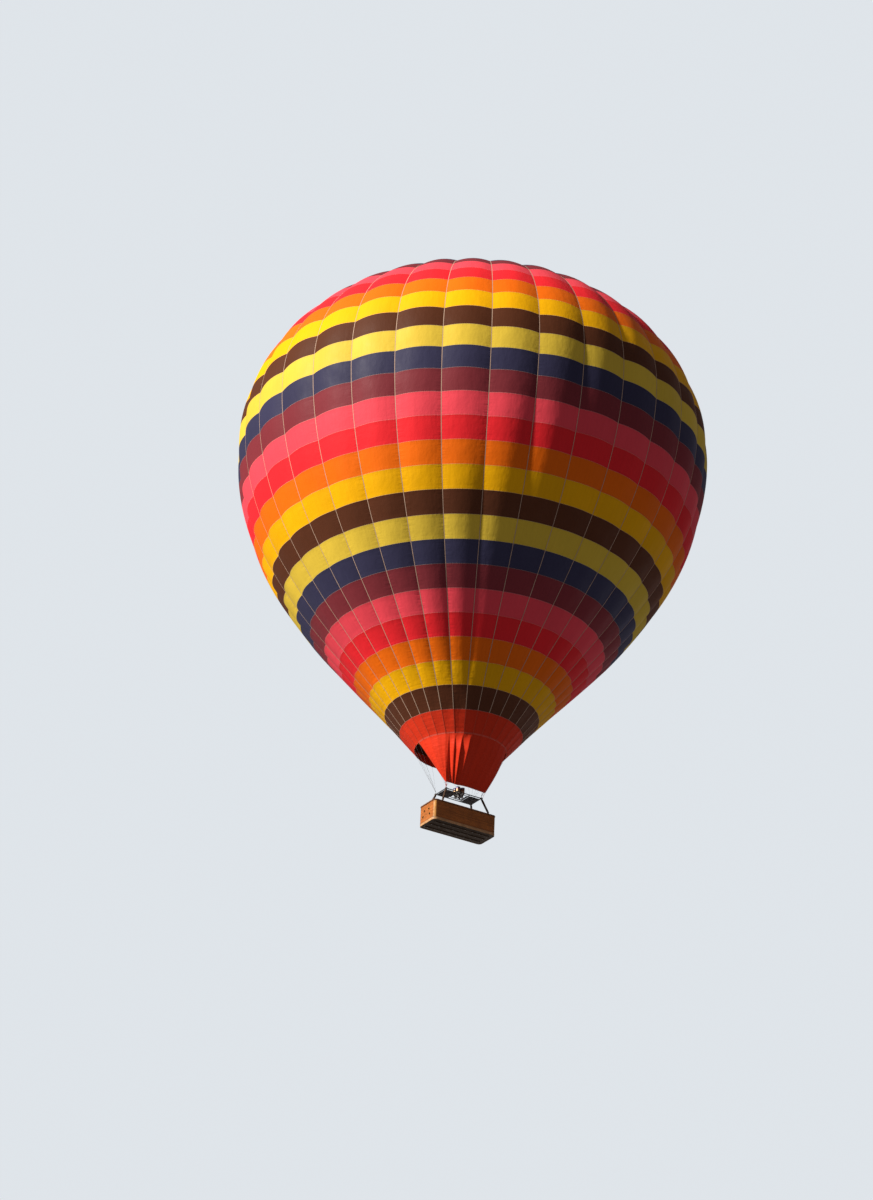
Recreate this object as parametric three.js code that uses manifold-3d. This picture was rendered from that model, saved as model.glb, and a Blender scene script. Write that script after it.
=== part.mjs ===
// A large passenger hot air balloon: a striped envelope of 32 gores, a parachute valve in its crown,
// a scoop below its mouth, and a wicker basket that hangs from a load frame with four burners.
//
// Millimetres, +Z up. The origin is on the envelope's axis at its widest section, where the lift acts.
// +X runs along the basket's long side and +Y across it, away from the side that the scoop closes.

import * as THREE from "three";
import { mergeVertices } from "three/addons/utils/BufferGeometryUtils.js";
import Module from "manifold-3d";

const wasm = await Module();
wasm.setup();

// Envelope
const PANEL = 1340; // height of one fabric panel along the meridian, between two horizontal seams
const GORES = 32; // vertical strips of panels, one centred on each of +X, +Y, -X and -Y
const GORE = (2 * Math.PI) / GORES;
const SKIN = 10; // thickness of every fabric wall
const MOUTH_RADIUS = 2540;
const MOUTH_HEIGHT = -18740; // of the mouth's lower edge

// The meridian in the middle of a gore, from the mouth's edge (-1) up, as arcs. Lengths are in panels
// and slopes in degrees from the vertical, positive where the wall leans out.
const MERIDIAN = [
  { upTo: -1, slope: 40.2 },
  { upTo: 0, slope: 40.2 },
  { upTo: 2, slope: 42.4 },
  { upTo: 5.5, slope: 41 },
  { upTo: 9, slope: 32.2 },
  { upTo: 12.5, slope: 16.2 },
  { upTo: 15.5, slope: 1.4 },
  { upTo: 18.5, slope: -24.4 },
  { upTo: 21.5, slope: -48 },
  { upTo: 24, slope: -67 },
  { upTo: 26.5, slope: -80 },
  { upTo: 30, slope: -90 },
];
const VALVE_EDGE = 27; // where the fixed fabric ends and the crown's opening begins
// The fabric bows out between the load tapes, by a share of the width between them. The bow dies out
// over the panels next to the mouth band and next to the crown's opening, where it is pulled straight.
const GORE_BULGE = { share: 0.088, fade: 2 };
const VALVE_LAP = 0.3; // panels of fabric that the valve lies under
const CROWN_RING = { inner: 230, outer: 320, height: 26 };
const CROWN_ROWS = 3;
const TAPE_WIDTH = 40;

// The colours of the horizontal stripes, from the bottom up. They repeat all the way to the crown.
const STRIPES = ["brown", "gold", "orange", "red", "pink", "maroon", "navy", "straw"];

// Heights of what hangs below, from the basket's underside
const BASKET_FOOT = -23500;
const FRAME_HEIGHT = BASKET_FOOT + 2120; // the load frame's tube centres
const HEM_HEIGHT = BASKET_FOOT + 2410; // the scoop's lower edge

// Scoop
const SCOOP_HEM = { halfX: 1255, halfY: 702 };
const SCOOP_LAP = 0.05; // panels of mouth fabric that the scoop is sewn over
const SCOOP_BELLY = { depth: 90, edge: 1.5 }; // at mid height; it dies out over the first columns
const SCOOP_FIRST_GORE = 15; // the seam where the scoop starts, at 174 degrees
const SCOOP_GORES = 13; // of the 32, so more than half of the mouth stays open
const SCOOP_ROWS = 5;
const SCOOP_CORNER = 4.5; // the column at the hem's first corner
const SCOOP_TURN = 12; // space between the columns that lie round a corner
const SCOOP_GATHER = 4; // how tightly the columns between the corners gather at them
const TIE_RADIUS = 6;

// Rigging
const WIRE_RADIUS = 4;
const WIRES_PER_CORNER = 8;
const WIRE_END = 4.5; // a wire's end is this far from the middle of the mouth's edge, just short of the fabric
const SHACKLE = { width: 26, height: 90 };

// Load frame, with the burners on two pivots in its middle bay
const FRAME = { halfX: 1140, halfY: 530, tube: 24, bay: 400 };
const CORNER_BLOCK = { width: 120, height: 60 };
const PIVOT = { boss: 22, bossLength: 8, pin: 14, gap: 0.5 };
const CRADLE = { halfX: 340, halfY: 320, tube: 16 };
const BURNER = { spacing: 140, can: 122, canWall: 8, canFoot: 45, canTop: 470, valve: 52, valveFoot: -150 };
const BURNER_PLATE = { half: 190, thickness: 30 };
const SHIELD = { thickness: 6, halfY: 440 };

// Basket
const BASKET = { halfX: 1975, halfY: 785, corner: 200, wall: 35, height: 1220 };
const RUNNER = { length: 3500, width: 90, height: 40, apart: 450 };
const FLOOR = 25;
const HIDE = { thickness: 8, bottom: 22, top: 170 };
const RIM = { width: 96, height: 82 };
const CORNER_STEPS = 5;
const FOOT_HOLE = { width: 130, height: 105 };
// Foot holes in each end wall: place across the wall, and height above the basket's underside
const FOOT_HOLES = [
  { across: 260, height: 800 },
  { across: -195, height: 800 },
  { across: 375, height: 480 },
  { across: -290, height: 480 },
];
const PARTITION = { at: 480, thickness: 30, height: 1060 };
const TANK = { radius: 180, height: 900, halfX: 250, halfY: 500, collar: 90, collarHeight: 90 };
const STRUT = { radius: 60, footX: 1480, footY: 767 };

const TOUCH = 0.3; // space left between pieces that rest on each other

const CORNERS = [
  { name: "near_left", x: -1, y: -1 },
  { name: "near_right", x: 1, y: -1 },
  { name: "far_right", x: 1, y: 1 },
  { name: "far_left", x: -1, y: 1 },
];
const ENDS = [
  { name: "left", x: -1 },
  { name: "right", x: 1 },
];

// Materials: colour, roughness, metalness
const FINISHES = {
  brown: [0x69412a, 0.62, 0],
  gold: [0xf0b81e, 0.6, 0],
  orange: [0xf47a30, 0.6, 0],
  red: [0xdf2c36, 0.6, 0],
  pink: [0xee5a68, 0.6, 0],
  maroon: [0x823c42, 0.62, 0],
  navy: [0x3a3c5c, 0.62, 0],
  straw: [0xead070, 0.6, 0],
  scarlet: [0xe0402c, 0.7, 0],
  webbing: [0xb9b2a4, 0.8, 0],
  steel: [0xb4b6b8, 0.35, 0.9],
  wire: [0x8c8e92, 0.4, 0.9],
  aluminium: [0xc4c6c8, 0.4, 0.9],
  black_cloth: [0x1c1c1f, 0.85, 0],
  wicker: [0xb4682c, 0.75, 0],
  hide: [0xc99a62, 0.7, 0],
  leather: [0x35241a, 0.65, 0],
  plywood: [0x8a6238, 0.7, 0],
  hardwood: [0x6c4a2a, 0.7, 0],
  tank_jacket: [0x2b2d33, 0.8, 0],
};

function material(finish) {
  const [color, roughness, metalness] = FINISHES[finish];
  return new THREE.MeshStandardMaterial({ name: finish, color, roughness, metalness });
}

// Geometry helpers

// A closed geometry as a solid that can be joined and cut.
function solid(geometry) {
  const bare = geometry.clone();
  bare.deleteAttribute("normal");
  bare.deleteAttribute("uv");
  const merged = mergeVertices(bare, 1e-3);
  const { array } = merged.attributes.position;
  const triVerts = new Uint32Array(merged.index.array);
  return new wasm.Manifold(new wasm.Mesh({ numProp: 3, vertProperties: array, triVerts }));
}

function join(geometries) {
  return geometries.map(solid).reduce((whole, piece) => whole.add(piece));
}

function geometryOf(body) {
  const { vertProperties, triVerts } = body.getMesh();
  const geometry = new THREE.BufferGeometry();
  geometry.setAttribute("position", new THREE.BufferAttribute(vertProperties, 3));
  geometry.setIndex(new THREE.BufferAttribute(triVerts, 1));
  return geometry;
}

// A closed wall between two grids of points with rows going up and columns going counter-clockwise
// seen from above. A ring's last column joins its first; otherwise the two side edges are closed.
// Both faces are split along the same diagonals, so that a twisted wall keeps its thickness.
function wall(outer, inner, ring) {
  const rows = [...outer, ...inner.toReversed()];
  const columns = rows[0].length;
  const points = rows.flat();
  const faces = [];
  const quad = (a, b, c, d) => faces.push(a, b, c, a, c, d);
  const at = (row, column) => (row % rows.length) * columns + (column % columns);
  for (let row = 0; row < rows.length; row += 1) {
    const onInner = row >= outer.length && row < rows.length - 1;
    for (let column = 0; column < (ring ? columns : columns - 1); column += 1) {
      const corners = [at(row, column), at(row, column + 1), at(row + 1, column + 1), at(row + 1, column)];
      if (onInner) corners.push(corners.shift());
      quad(...corners);
    }
  }
  if (!ring) {
    const last = columns - 1;
    for (let row = 0; row < outer.length - 1; row += 1) {
      const back = rows.length - 1 - row;
      quad(at(row, 0), at(row + 1, 0), at(back - 1, 0), at(back, 0));
      quad(at(row, last), at(back, last), at(back - 1, last), at(row + 1, last));
    }
  }
  const geometry = new THREE.BufferGeometry().setFromPoints(points);
  geometry.setIndex(faces);
  return geometry;
}

// A bar of round section between two points. Level ends are cut flat, parallel to the ground.
function bar(from, to, radius, sides, levelEnds = false) {
  const along = new THREE.Vector3().subVectors(to, from);
  const geometry = new THREE.CylinderGeometry(radius, radius, levelEnds ? along.z : along.length(), sides);
  geometry.rotateX(Math.PI / 2);
  if (levelEnds) {
    const lean = new THREE.Matrix4().makeShear(0, 0, 0, 0, along.x / along.z, along.y / along.z);
    geometry.applyMatrix4(lean);
  } else {
    const up = new THREE.Vector3(0, 0, 1);
    geometry.applyQuaternion(new THREE.Quaternion().setFromUnitVectors(up, along.normalize()));
  }
  return geometry.translate((from.x + to.x) / 2, (from.y + to.y) / 2, (from.z + to.z) / 2);
}

function box(sizeX, sizeY, sizeZ, x, y, z) {
  return new THREE.BoxGeometry(sizeX, sizeY, sizeZ).translate(x, y, z);
}

// A solid of revolution about the vertical through x, y. The profile is [radius, height] from axis to axis.
function turned(profile, sides, x = 0, y = 0, z = 0) {
  const points = profile.map(([radius, height]) => new THREE.Vector2(radius, height));
  const geometry = new THREE.LatheGeometry(points, sides);
  return geometry.rotateX(Math.PI / 2).translate(x, y, z);
}

// A level rectangle with round corners, as a ring of points.
function roundedRectangle(halfX, halfY, radius, z) {
  const points = [];
  for (let quarter = 0; quarter < 4; quarter += 1) {
    const signX = quarter === 0 || quarter === 3 ? 1 : -1;
    const signY = quarter < 2 ? 1 : -1;
    for (let step = 0; step <= CORNER_STEPS; step += 1) {
      const angle = ((quarter + step / CORNER_STEPS) * Math.PI) / 2;
      const x = signX * (halfX - radius) + radius * Math.cos(angle);
      const y = signY * (halfY - radius) + radius * Math.sin(angle);
      points.push(new THREE.Vector3(x, y, z));
    }
  }
  return points;
}

// The basket's outline, pushed out or in by an offset.
function basketOutline(offset, z) {
  return roundedRectangle(BASKET.halfX + offset, BASKET.halfY + offset, BASKET.corner + offset, z);
}

// Envelope

// Radius, height and slope of the fabric's outer face in the middle of a gore, at a place in panels.
function meridian(place) {
  let radius = MOUTH_RADIUS;
  let height = MOUTH_HEIGHT;
  let slope = THREE.MathUtils.degToRad(MERIDIAN[0].slope);
  for (let arc = 1; arc < MERIDIAN.length; arc += 1) {
    const start = MERIDIAN[arc - 1].upTo;
    const length = MERIDIAN[arc].upTo - start;
    const part = Math.min(place - start, length) / length;
    if (part <= 0) break;
    const turn = THREE.MathUtils.degToRad(MERIDIAN[arc].slope - MERIDIAN[arc - 1].slope) * part;
    const run = length * part * PANEL;
    const straight = Math.abs(turn) < 1e-9;
    radius += run * (straight ? Math.sin(slope) : (Math.cos(slope) - Math.cos(slope + turn)) / turn);
    height += run * (straight ? Math.cos(slope) : (Math.sin(slope + turn) - Math.sin(slope)) / turn);
    slope += turn;
  }
  return { radius, height, slope };
}

function seamAngle(gore) {
  return (gore + 0.5) * GORE;
}

// The same on a load tape. The fabric's middle stands out from the line between two tapes by the bulge.
function tapeMeridian(place) {
  const { radius, height, slope } = meridian(place);
  const edge = Math.min(place, VALVE_EDGE - place) / GORE_BULGE.fade;
  const bulge = 2 * Math.sin(GORE / 2) * GORE_BULGE.share * THREE.MathUtils.smoothstep(edge, 0, 1);
  const tapeRadius = radius / (Math.cos(GORE / 2) + bulge * Math.cos(slope));
  return { radius: tapeRadius, height: height + bulge * tapeRadius * Math.sin(slope), slope };
}

// A point on a meridian at an angle round the axis, moved in through the fabric by a depth.
function onMeridian({ radius, height, slope }, angle, depth) {
  const out = radius - depth * Math.cos(slope);
  return new THREE.Vector3(out * Math.cos(angle), out * Math.sin(angle), height + depth * Math.sin(slope));
}

function onEnvelope(place, angle, depth = 0) {
  return onMeridian(tapeMeridian(place), angle, depth);
}

// A level row round the envelope, with a point in the middle of each gore and one on each tape.
function envelopeRow(place, depth = 0) {
  const gores = Array.from({ length: GORES }, (_, gore) => gore);
  return gores.flatMap((gore) => [
    onMeridian(meridian(place), gore * GORE, depth),
    onEnvelope(place, seamAngle(gore), depth),
  ]);
}

// One horizontal stripe: a ring of 32 panels, sewn to its neighbours above and below.
function stripe(bottom, top) {
  const seam = TOUCH / 2 / PANEL;
  const rows = [bottom + seam, top - seam];
  return wall(
    rows.map((place) => envelopeRow(place)),
    rows.map((place) => envelopeRow(place, SKIN)),
    true,
  );
}

// Places along the meridian from the crown's opening in to the crown ring. The fabric is nearly level
// there, so its radius shrinks by almost the length that is run.
function crownPlaces() {
  const run = (meridian(VALVE_EDGE).radius - CROWN_RING.inner) / PANEL;
  return Array.from({ length: CROWN_ROWS + 1 }, (_, row) => VALVE_EDGE + (run * row) / CROWN_ROWS);
}

// The load tapes across the crown's opening, which meet at the crown ring.
function crownTapes() {
  const clear = TOUCH + (TAPE_WIDTH / 2) * Math.tan(GORE / 2); // a tape's corners stay off the last seam
  const [, ...inner] = crownPlaces();
  const places = [VALVE_EDGE + clear / PANEL, ...inner];
  const tapes = Array.from({ length: GORES }, (_, gore) => {
    const angle = seamAngle(gore);
    const side = new THREE.Vector3(-Math.sin(angle), Math.cos(angle), 0).multiplyScalar(TAPE_WIDTH / 2);
    const strip = (depth) =>
      places.map((place) => {
        const middle = onEnvelope(place, angle, depth);
        return [middle.clone().sub(side), middle.clone().add(side)];
      });
    return wall(strip(0), strip(SKIN), false);
  });
  const low = meridian(places.at(-1)).height - SKIN;
  const ringRow = (radius, height) =>
    Array.from({ length: GORES }, (_, gore) => {
      const angle = seamAngle(gore);
      return new THREE.Vector3(radius * Math.cos(angle), radius * Math.sin(angle), height);
    });
  const edge = (radius) => [ringRow(radius, low), ringRow(radius, low + CROWN_RING.height)];
  const ring = wall(edge(CROWN_RING.outer), edge(CROWN_RING.inner), true);
  return geometryOf(join([ring, ...tapes]));
}

// The parachute valve: a disc of fabric that lies under the tapes and laps under the last stripe.
function parachuteValve() {
  const face = (depth) => {
    const points = crownPlaces().map((place) => onEnvelope(place, 0, depth));
    const lastStripe = onEnvelope(VALVE_EDGE - 1, 0, depth);
    points.unshift(points[0].clone().lerp(lastStripe, VALVE_LAP));
    const profile = points.map(({ x, z }) => [x, z]);
    return [...profile, [0, points.at(-1).z]];
  };
  const upper = face(SKIN + TOUCH);
  const lower = face(2 * SKIN + TOUCH);
  return turned([...lower.toReversed(), ...upper], GORES).rotateZ(GORE / 2);
}

// Scoop: fabric from two fifths of the mouth down to the two near corners of the load frame.

// A point along the scoop's lower edge. The first and the last columns lie round the two near
// corners. Those between gather at both corners, inside the wires.
function hemPoint(column) {
  const { halfX, halfY } = SCOOP_HEM;
  const past = column - SCOOP_CORNER;
  const beyond = past - WIRES_PER_CORNER;
  if (past < 0) return new THREE.Vector3(-halfX, -halfY - past * SCOOP_TURN, HEM_HEIGHT);
  if (beyond > 0) return new THREE.Vector3(halfX, -halfY + beyond * SCOOP_TURN, HEM_HEIGHT);
  const share = past / WIRES_PER_CORNER;
  const near = share ** SCOOP_GATHER;
  const along = near / (near + (1 - share) ** SCOOP_GATHER);
  return new THREE.Vector3(THREE.MathUtils.lerp(-halfX, halfX, along), -halfY, HEM_HEIGHT);
}

function scoopGrid() {
  const rows = [];
  for (let row = 0; row <= SCOOP_ROWS; row += 1) {
    const up = row / SCOOP_ROWS;
    const points = [];
    for (let column = 0; column <= SCOOP_GORES; column += 1) {
      const angle = seamAngle(SCOOP_FIRST_GORE + column);
      const point = hemPoint(column).lerp(onEnvelope(-1, angle, -TOUCH), up);
      const bow = SCOOP_BELLY.depth * Math.sin(Math.PI * up) * Math.min(1, column / SCOOP_BELLY.edge);
      points.push(point.add(new THREE.Vector3(bow * Math.cos(angle), bow * Math.sin(angle), 0)));
    }
    rows.push(points);
  }
  rows.push(
    rows[0].map((_, column) => onEnvelope(-1 + SCOOP_LAP, seamAngle(SCOOP_FIRST_GORE + column), -TOUCH)),
  );
  return rows;
}

// The grid moved along its own normals, which point out where columns run counter-clockwise.
function pushedOut(grid, distance) {
  return grid.map((row, r) =>
    row.map((point, c) => {
      const across = new THREE.Vector3().subVectors(row[Math.min(c + 1, row.length - 1)], row[Math.max(c - 1, 0)]);
      const above = grid[Math.min(r + 1, grid.length - 1)][c];
      const upward = new THREE.Vector3().subVectors(above, grid[Math.max(r - 1, 0)][c]);
      return across.cross(upward).normalize().multiplyScalar(distance).add(point);
    }),
  );
}

function scoop() {
  const inside = scoopGrid();
  const outside = pushedOut(inside, SKIN);
  const cloth = wall(outside, inside, false);
  const blockTop = FRAME_HEIGHT + CORNER_BLOCK.height / 2;
  const ties = CORNERS.slice(0, 2).map(({ x, y }) => {
    const reach = CORNER_BLOCK.width / 2 - TIE_RADIUS - 6;
    const foot = new THREE.Vector3(
      x * (FRAME.halfX + reach),
      y * (FRAME.halfY + reach),
      blockTop + TOUCH,
    );
    const head = new THREE.Vector3(x * (SCOOP_HEM.halfX + 2), y * (SCOOP_HEM.halfY + 2), HEM_HEIGHT + 12);
    return bar(foot, head, TIE_RADIUS, 6, true);
  });
  return geometryOf(join([cloth, ...ties]));
}

// Flying wires: eight from each corner of the load frame to the tapes that end at the mouth.
function flyingWires({ x, y }) {
  const blockTop = FRAME_HEIGHT + CORNER_BLOCK.height / 2;
  const foot = new THREE.Vector3(x * FRAME.halfX, y * FRAME.halfY, blockTop + TOUCH + SHACKLE.height - 12);
  const shackle = box(
    SHACKLE.width,
    SHACKLE.width,
    SHACKLE.height,
    foot.x,
    foot.y,
    blockTop + TOUCH + SHACKLE.height / 2,
  );
  const firstGore = GORES / 4 * Math.round((Math.atan2(y, x) * 2) / Math.PI - 0.5);
  const wires = Array.from({ length: WIRES_PER_CORNER }, (_, wire) => {
    const tape = onEnvelope(-1, seamAngle(firstGore + wire), SKIN / 2);
    const slack = new THREE.Vector3().subVectors(foot, tape).setLength(WIRE_END);
    return bar(foot, tape.add(slack), WIRE_RADIUS, 4);
  });
  return geometryOf(join([shackle, ...wires]));
}

// Load frame
function loadFrame() {
  const { halfX, halfY, tube, bay } = FRAME;
  const at = (x, y) => new THREE.Vector3(x, y, FRAME_HEIGHT);
  const sides = 10;
  const pieces = [
    bar(at(-halfX, -halfY), at(halfX, -halfY), tube, sides),
    bar(at(-halfX, halfY), at(halfX, halfY), tube, sides),
  ];
  for (const { x } of ENDS) {
    pieces.push(bar(at(x * halfX, -halfY), at(x * halfX, halfY), tube, sides));
    pieces.push(bar(at(x * bay, -halfY), at(x * bay, halfY), tube, sides));
    const bossTip = x * (bay - tube - PIVOT.bossLength);
    pieces.push(bar(at(x * bay, 0), at(bossTip, 0), PIVOT.boss, 12));
  }
  for (const { x, y } of CORNERS) {
    const { width, height } = CORNER_BLOCK;
    pieces.push(box(width, width, height, x * halfX, y * halfY, FRAME_HEIGHT));
  }
  return geometryOf(join(pieces));
}

// A dark heat shield under each end bay of the load frame.
function heatShield({ x }) {
  const { halfX, tube, bay } = FRAME;
  const z = FRAME_HEIGHT - tube - TOUCH - SHIELD.thickness / 2;
  return box(halfX - bay, 2 * SHIELD.halfY, SHIELD.thickness, (x * (halfX + bay)) / 2, 0, z);
}

// A padded upright from the basket's rim to a corner of the load frame.
function upright({ x, y }) {
  const foot = new THREE.Vector3(x * STRUT.footX, y * STRUT.footY, BASKET_FOOT + BASKET.height + TOUCH);
  const headZ = FRAME_HEIGHT - CORNER_BLOCK.height / 2 - TOUCH;
  const head = new THREE.Vector3(x * FRAME.halfX, y * FRAME.halfY, headZ);
  return bar(foot, head, STRUT.radius, 10, true);
}

// Burners

// The outer gimbal ring, on pins along X between the load frame's two cross tubes.
function burnerCradle() {
  const { halfX, halfY, tube } = CRADLE;
  const at = (x, y) => new THREE.Vector3(x, y, FRAME_HEIGHT);
  const pieces = [];
  for (const sign of [-1, 1]) {
    pieces.push(bar(at(-halfX, sign * halfY), at(halfX, sign * halfY), tube, 8));
    pieces.push(bar(at(sign * halfX, -halfY), at(sign * halfX, halfY), tube, 8));
    const pinTip = FRAME.bay - FRAME.tube - PIVOT.bossLength - PIVOT.gap;
    pieces.push(bar(at(sign * halfX, 0), at(sign * pinTip, 0), PIVOT.pin, 10));
    const bossTip = halfY - tube - PIVOT.bossLength;
    pieces.push(bar(at(0, sign * halfY), at(0, sign * bossTip), PIVOT.boss, 12));
    for (const end of [-1, 1]) {
      pieces.push(box(2 * tube, 2 * tube, 2 * tube, sign * halfX, end * halfY, FRAME_HEIGHT));
    }
  }
  return geometryOf(join(pieces));
}

// Four burners on one plate, on pins along Y in the gimbal ring.
function burners() {
  const { spacing, can, canWall, canFoot, canTop, valve, valveFoot } = BURNER;
  const { half, thickness } = BURNER_PLATE;
  const pieces = [box(2 * half, 2 * half, thickness, 0, 0, FRAME_HEIGHT)];
  for (const sign of [-1, 1]) {
    const pinTip = CRADLE.halfY - CRADLE.tube - PIVOT.bossLength - PIVOT.gap;
    const pinFrom = new THREE.Vector3(0, sign * (half - 20), FRAME_HEIGHT);
    const pinTo = new THREE.Vector3(0, sign * pinTip, FRAME_HEIGHT);
    pieces.push(bar(pinFrom, pinTo, PIVOT.pin, 10));
  }
  const cup = [
    [0, canFoot],
    [can * 0.6, canFoot],
    [can, canFoot + 80],
    [can, canTop],
    [can - canWall, canTop],
    [can - canWall, canFoot + 90],
    [0, canFoot + 90],
  ];
  const body = [
    [0, valveFoot],
    [valve, valveFoot],
    [valve, canFoot + 20],
    [0, canFoot + 20],
  ];
  for (const { x, y } of CORNERS) {
    pieces.push(turned(cup, 16, x * spacing, y * spacing, FRAME_HEIGHT));
    pieces.push(turned(body, 10, x * spacing, y * spacing, FRAME_HEIGHT));
  }
  return geometryOf(join(pieces));
}

// Basket

function basketRing(outerOffset, innerOffset, bottom, top) {
  return wall(
    [basketOutline(outerOffset, bottom), basketOutline(outerOffset, top)],
    [basketOutline(innerOffset, bottom), basketOutline(innerOffset, top)],
    true,
  );
}

const FLOOR_BOTTOM = BASKET_FOOT + RUNNER.height + TOUCH;
const FLOOR_TOP = FLOOR_BOTTOM + FLOOR;
const WALL_TOP = BASKET_FOOT + BASKET.height - RIM.height - TOUCH;

function basketWalls() {
  const walls = solid(basketRing(0, -BASKET.wall, FLOOR_TOP + TOUCH, WALL_TOP));
  return geometryOf(
    ENDS.flatMap(({ x }) =>
      FOOT_HOLES.map(({ across, height }) => {
        const { width, height: tall } = FOOT_HOLE;
        const z = BASKET_FOOT + height;
        return box(4 * BASKET.wall, width, tall, x * BASKET.halfX, across, z);
      }),
    ).reduce((whole, hole) => whole.subtract(solid(hole)), walls),
  );
}

function basketFloor() {
  const shape = new THREE.Shape(basketOutline(0, 0).map(({ x, y }) => new THREE.Vector2(x, y)));
  return new THREE.ExtrudeGeometry(shape, { depth: FLOOR, bevelEnabled: false }).translate(0, 0, FLOOR_BOTTOM);
}

// The padded roll on the rim, a flattened eight-sided section swept round the basket.
function rimRoll() {
  const middle = -BASKET.wall / 2;
  const { width, height } = RIM;
  const z = BASKET_FOOT + BASKET.height - height;
  const row = (across, up) => basketOutline(middle + across * width, z + up * height);
  return wall(
    [row(0.25, 0), row(0.5, 0.25), row(0.5, 0.75), row(0.25, 1)],
    [row(-0.25, 0), row(-0.5, 0.25), row(-0.5, 0.75), row(-0.25, 1)],
    true,
  );
}

// A partition on each side of the pilot's place, with a lengthwise wall out to the basket's end.
function partition({ x }) {
  const { at, thickness, height } = PARTITION;
  const z = FLOOR_TOP + TOUCH + height / 2;
  const insideY = BASKET.halfY - BASKET.wall - TOUCH;
  const insideX = BASKET.halfX - BASKET.wall - TOUCH;
  const cross = box(thickness, 2 * insideY, height, x * at, 0, z);
  const lengthwise = box(insideX - at, thickness, height, (x * (insideX + at)) / 2, 0, z);
  return geometryOf(join([cross, lengthwise]));
}

function fuelTank({ x, y }) {
  const { radius, height, halfX, halfY, collar, collarHeight } = TANK;
  const shoulder = 60;
  const profile = [
    [0, 0],
    [radius, 0],
    [radius, height - shoulder - collarHeight],
    [radius * 0.7, height - collarHeight],
    [collar, height - collarHeight],
    [collar, height],
    [0, height],
  ];
  return turned(profile, 16, x * halfX, y * halfY, FLOOR_TOP + TOUCH);
}

// Assembly

const balloon = new THREE.Group();

function add(name, finish, geometry) {
  const mesh = new THREE.Mesh(geometry, material(finish));
  mesh.name = name;
  balloon.add(mesh);
}

add("mouth_band", "scarlet", stripe(-1, 0));
for (let band = 0; band < VALVE_EDGE; band += 1) {
  const finish = STRIPES[band % STRIPES.length];
  const number = String(band + 1).padStart(2, "0");
  add(`stripe_${number}_${finish}`, finish, stripe(band, band + 1));
}
add("parachute_valve", "red", parachuteValve());
add("crown_tapes", "webbing", crownTapes());
add("scoop", "scarlet", scoop());
add("load_frame", "steel", loadFrame());
for (const corner of CORNERS) {
  add(`flying_wires_${corner.name}`, "wire", flyingWires(corner));
  add(`upright_${corner.name}`, "leather", upright(corner));
  add(`fuel_tank_${corner.name}`, "tank_jacket", fuelTank(corner));
}
for (const end of ENDS) {
  add(`heat_shield_${end.name}`, "black_cloth", heatShield(end));
  add(`partition_${end.name}`, "wicker", partition(end));
}
add("burner_cradle", "steel", burnerCradle());
add("burners", "aluminium", burners());
add("basket_walls", "wicker", basketWalls());
add("basket_hide", "hide", basketRing(HIDE.thickness + TOUCH, TOUCH, BASKET_FOOT + HIDE.bottom, BASKET_FOOT + HIDE.top));
add("basket_rim", "leather", rimRoll());
add("basket_floor", "plywood", basketFloor());
for (const [index, side] of [-1, 0, 1].entries()) {
  const { length, width, height, apart } = RUNNER;
  const runner = box(length, width, height, 0, side * apart, BASKET_FOOT + height / 2);
  add(`runner_${index + 1}`, "hardwood", runner);
}

export default balloon;
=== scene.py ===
# %% [markdown]
# # A large passenger hot air balloon
# This lesson dresses a imported model of a balloon: the solids give every place and size, and each
# cell makes one real piece around them. Lengths are in metres and +Z is up. The origin is on the
# envelope's axis at its widest section, the basket's long side runs along X, and its near long
# side faces -Y. First the model is loaded.

# %% Load the model
import math
from functools import reduce
from itertools import product

import bmesh
import bpy
import numpy as np
from mathutils import Matrix, Vector


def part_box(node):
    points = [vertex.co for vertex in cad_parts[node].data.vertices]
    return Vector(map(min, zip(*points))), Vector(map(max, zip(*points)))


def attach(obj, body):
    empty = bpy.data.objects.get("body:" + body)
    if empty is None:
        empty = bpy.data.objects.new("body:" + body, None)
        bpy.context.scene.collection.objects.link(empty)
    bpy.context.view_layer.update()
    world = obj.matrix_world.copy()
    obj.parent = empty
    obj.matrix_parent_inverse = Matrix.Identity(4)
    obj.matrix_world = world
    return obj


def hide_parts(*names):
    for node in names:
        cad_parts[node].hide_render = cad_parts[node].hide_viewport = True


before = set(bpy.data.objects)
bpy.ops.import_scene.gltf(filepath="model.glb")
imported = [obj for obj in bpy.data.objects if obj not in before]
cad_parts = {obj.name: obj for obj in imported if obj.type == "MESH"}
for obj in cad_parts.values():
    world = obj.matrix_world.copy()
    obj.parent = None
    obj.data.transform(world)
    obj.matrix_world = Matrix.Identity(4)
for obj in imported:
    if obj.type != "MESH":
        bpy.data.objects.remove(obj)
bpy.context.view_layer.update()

# %% [markdown]
# ## Camera
# The picture was taken from the ground, far below and off the basket's near left corner. A long
# lens keeps the balloon whole from 140 m away. The camera's axes are worked out from four angles
# (bearing, yaw, pitch and roll) because a tracking constraint would level the roll away.

# %% Camera
CAMERA_BEARING = math.radians(-121.4)  # seen from the balloon's axis, counter-clockwise from +X
CAMERA_AWAY = 141.5
CAMERA_HEIGHT = -84.89
CAMERA_YAW = math.radians(-0.69)  # from the line to the balloon's axis, to the left
CAMERA_PITCH = math.radians(28.12)
CAMERA_ROLL = math.radians(-2.65)
LENS = 84.9  # mm, for a 36 mm sensor along the picture's height


def direction(bearing, rise=0.0):
    level = math.cos(rise)
    return Vector((math.cos(bearing) * level, math.sin(bearing) * level, math.sin(rise)))


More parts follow.
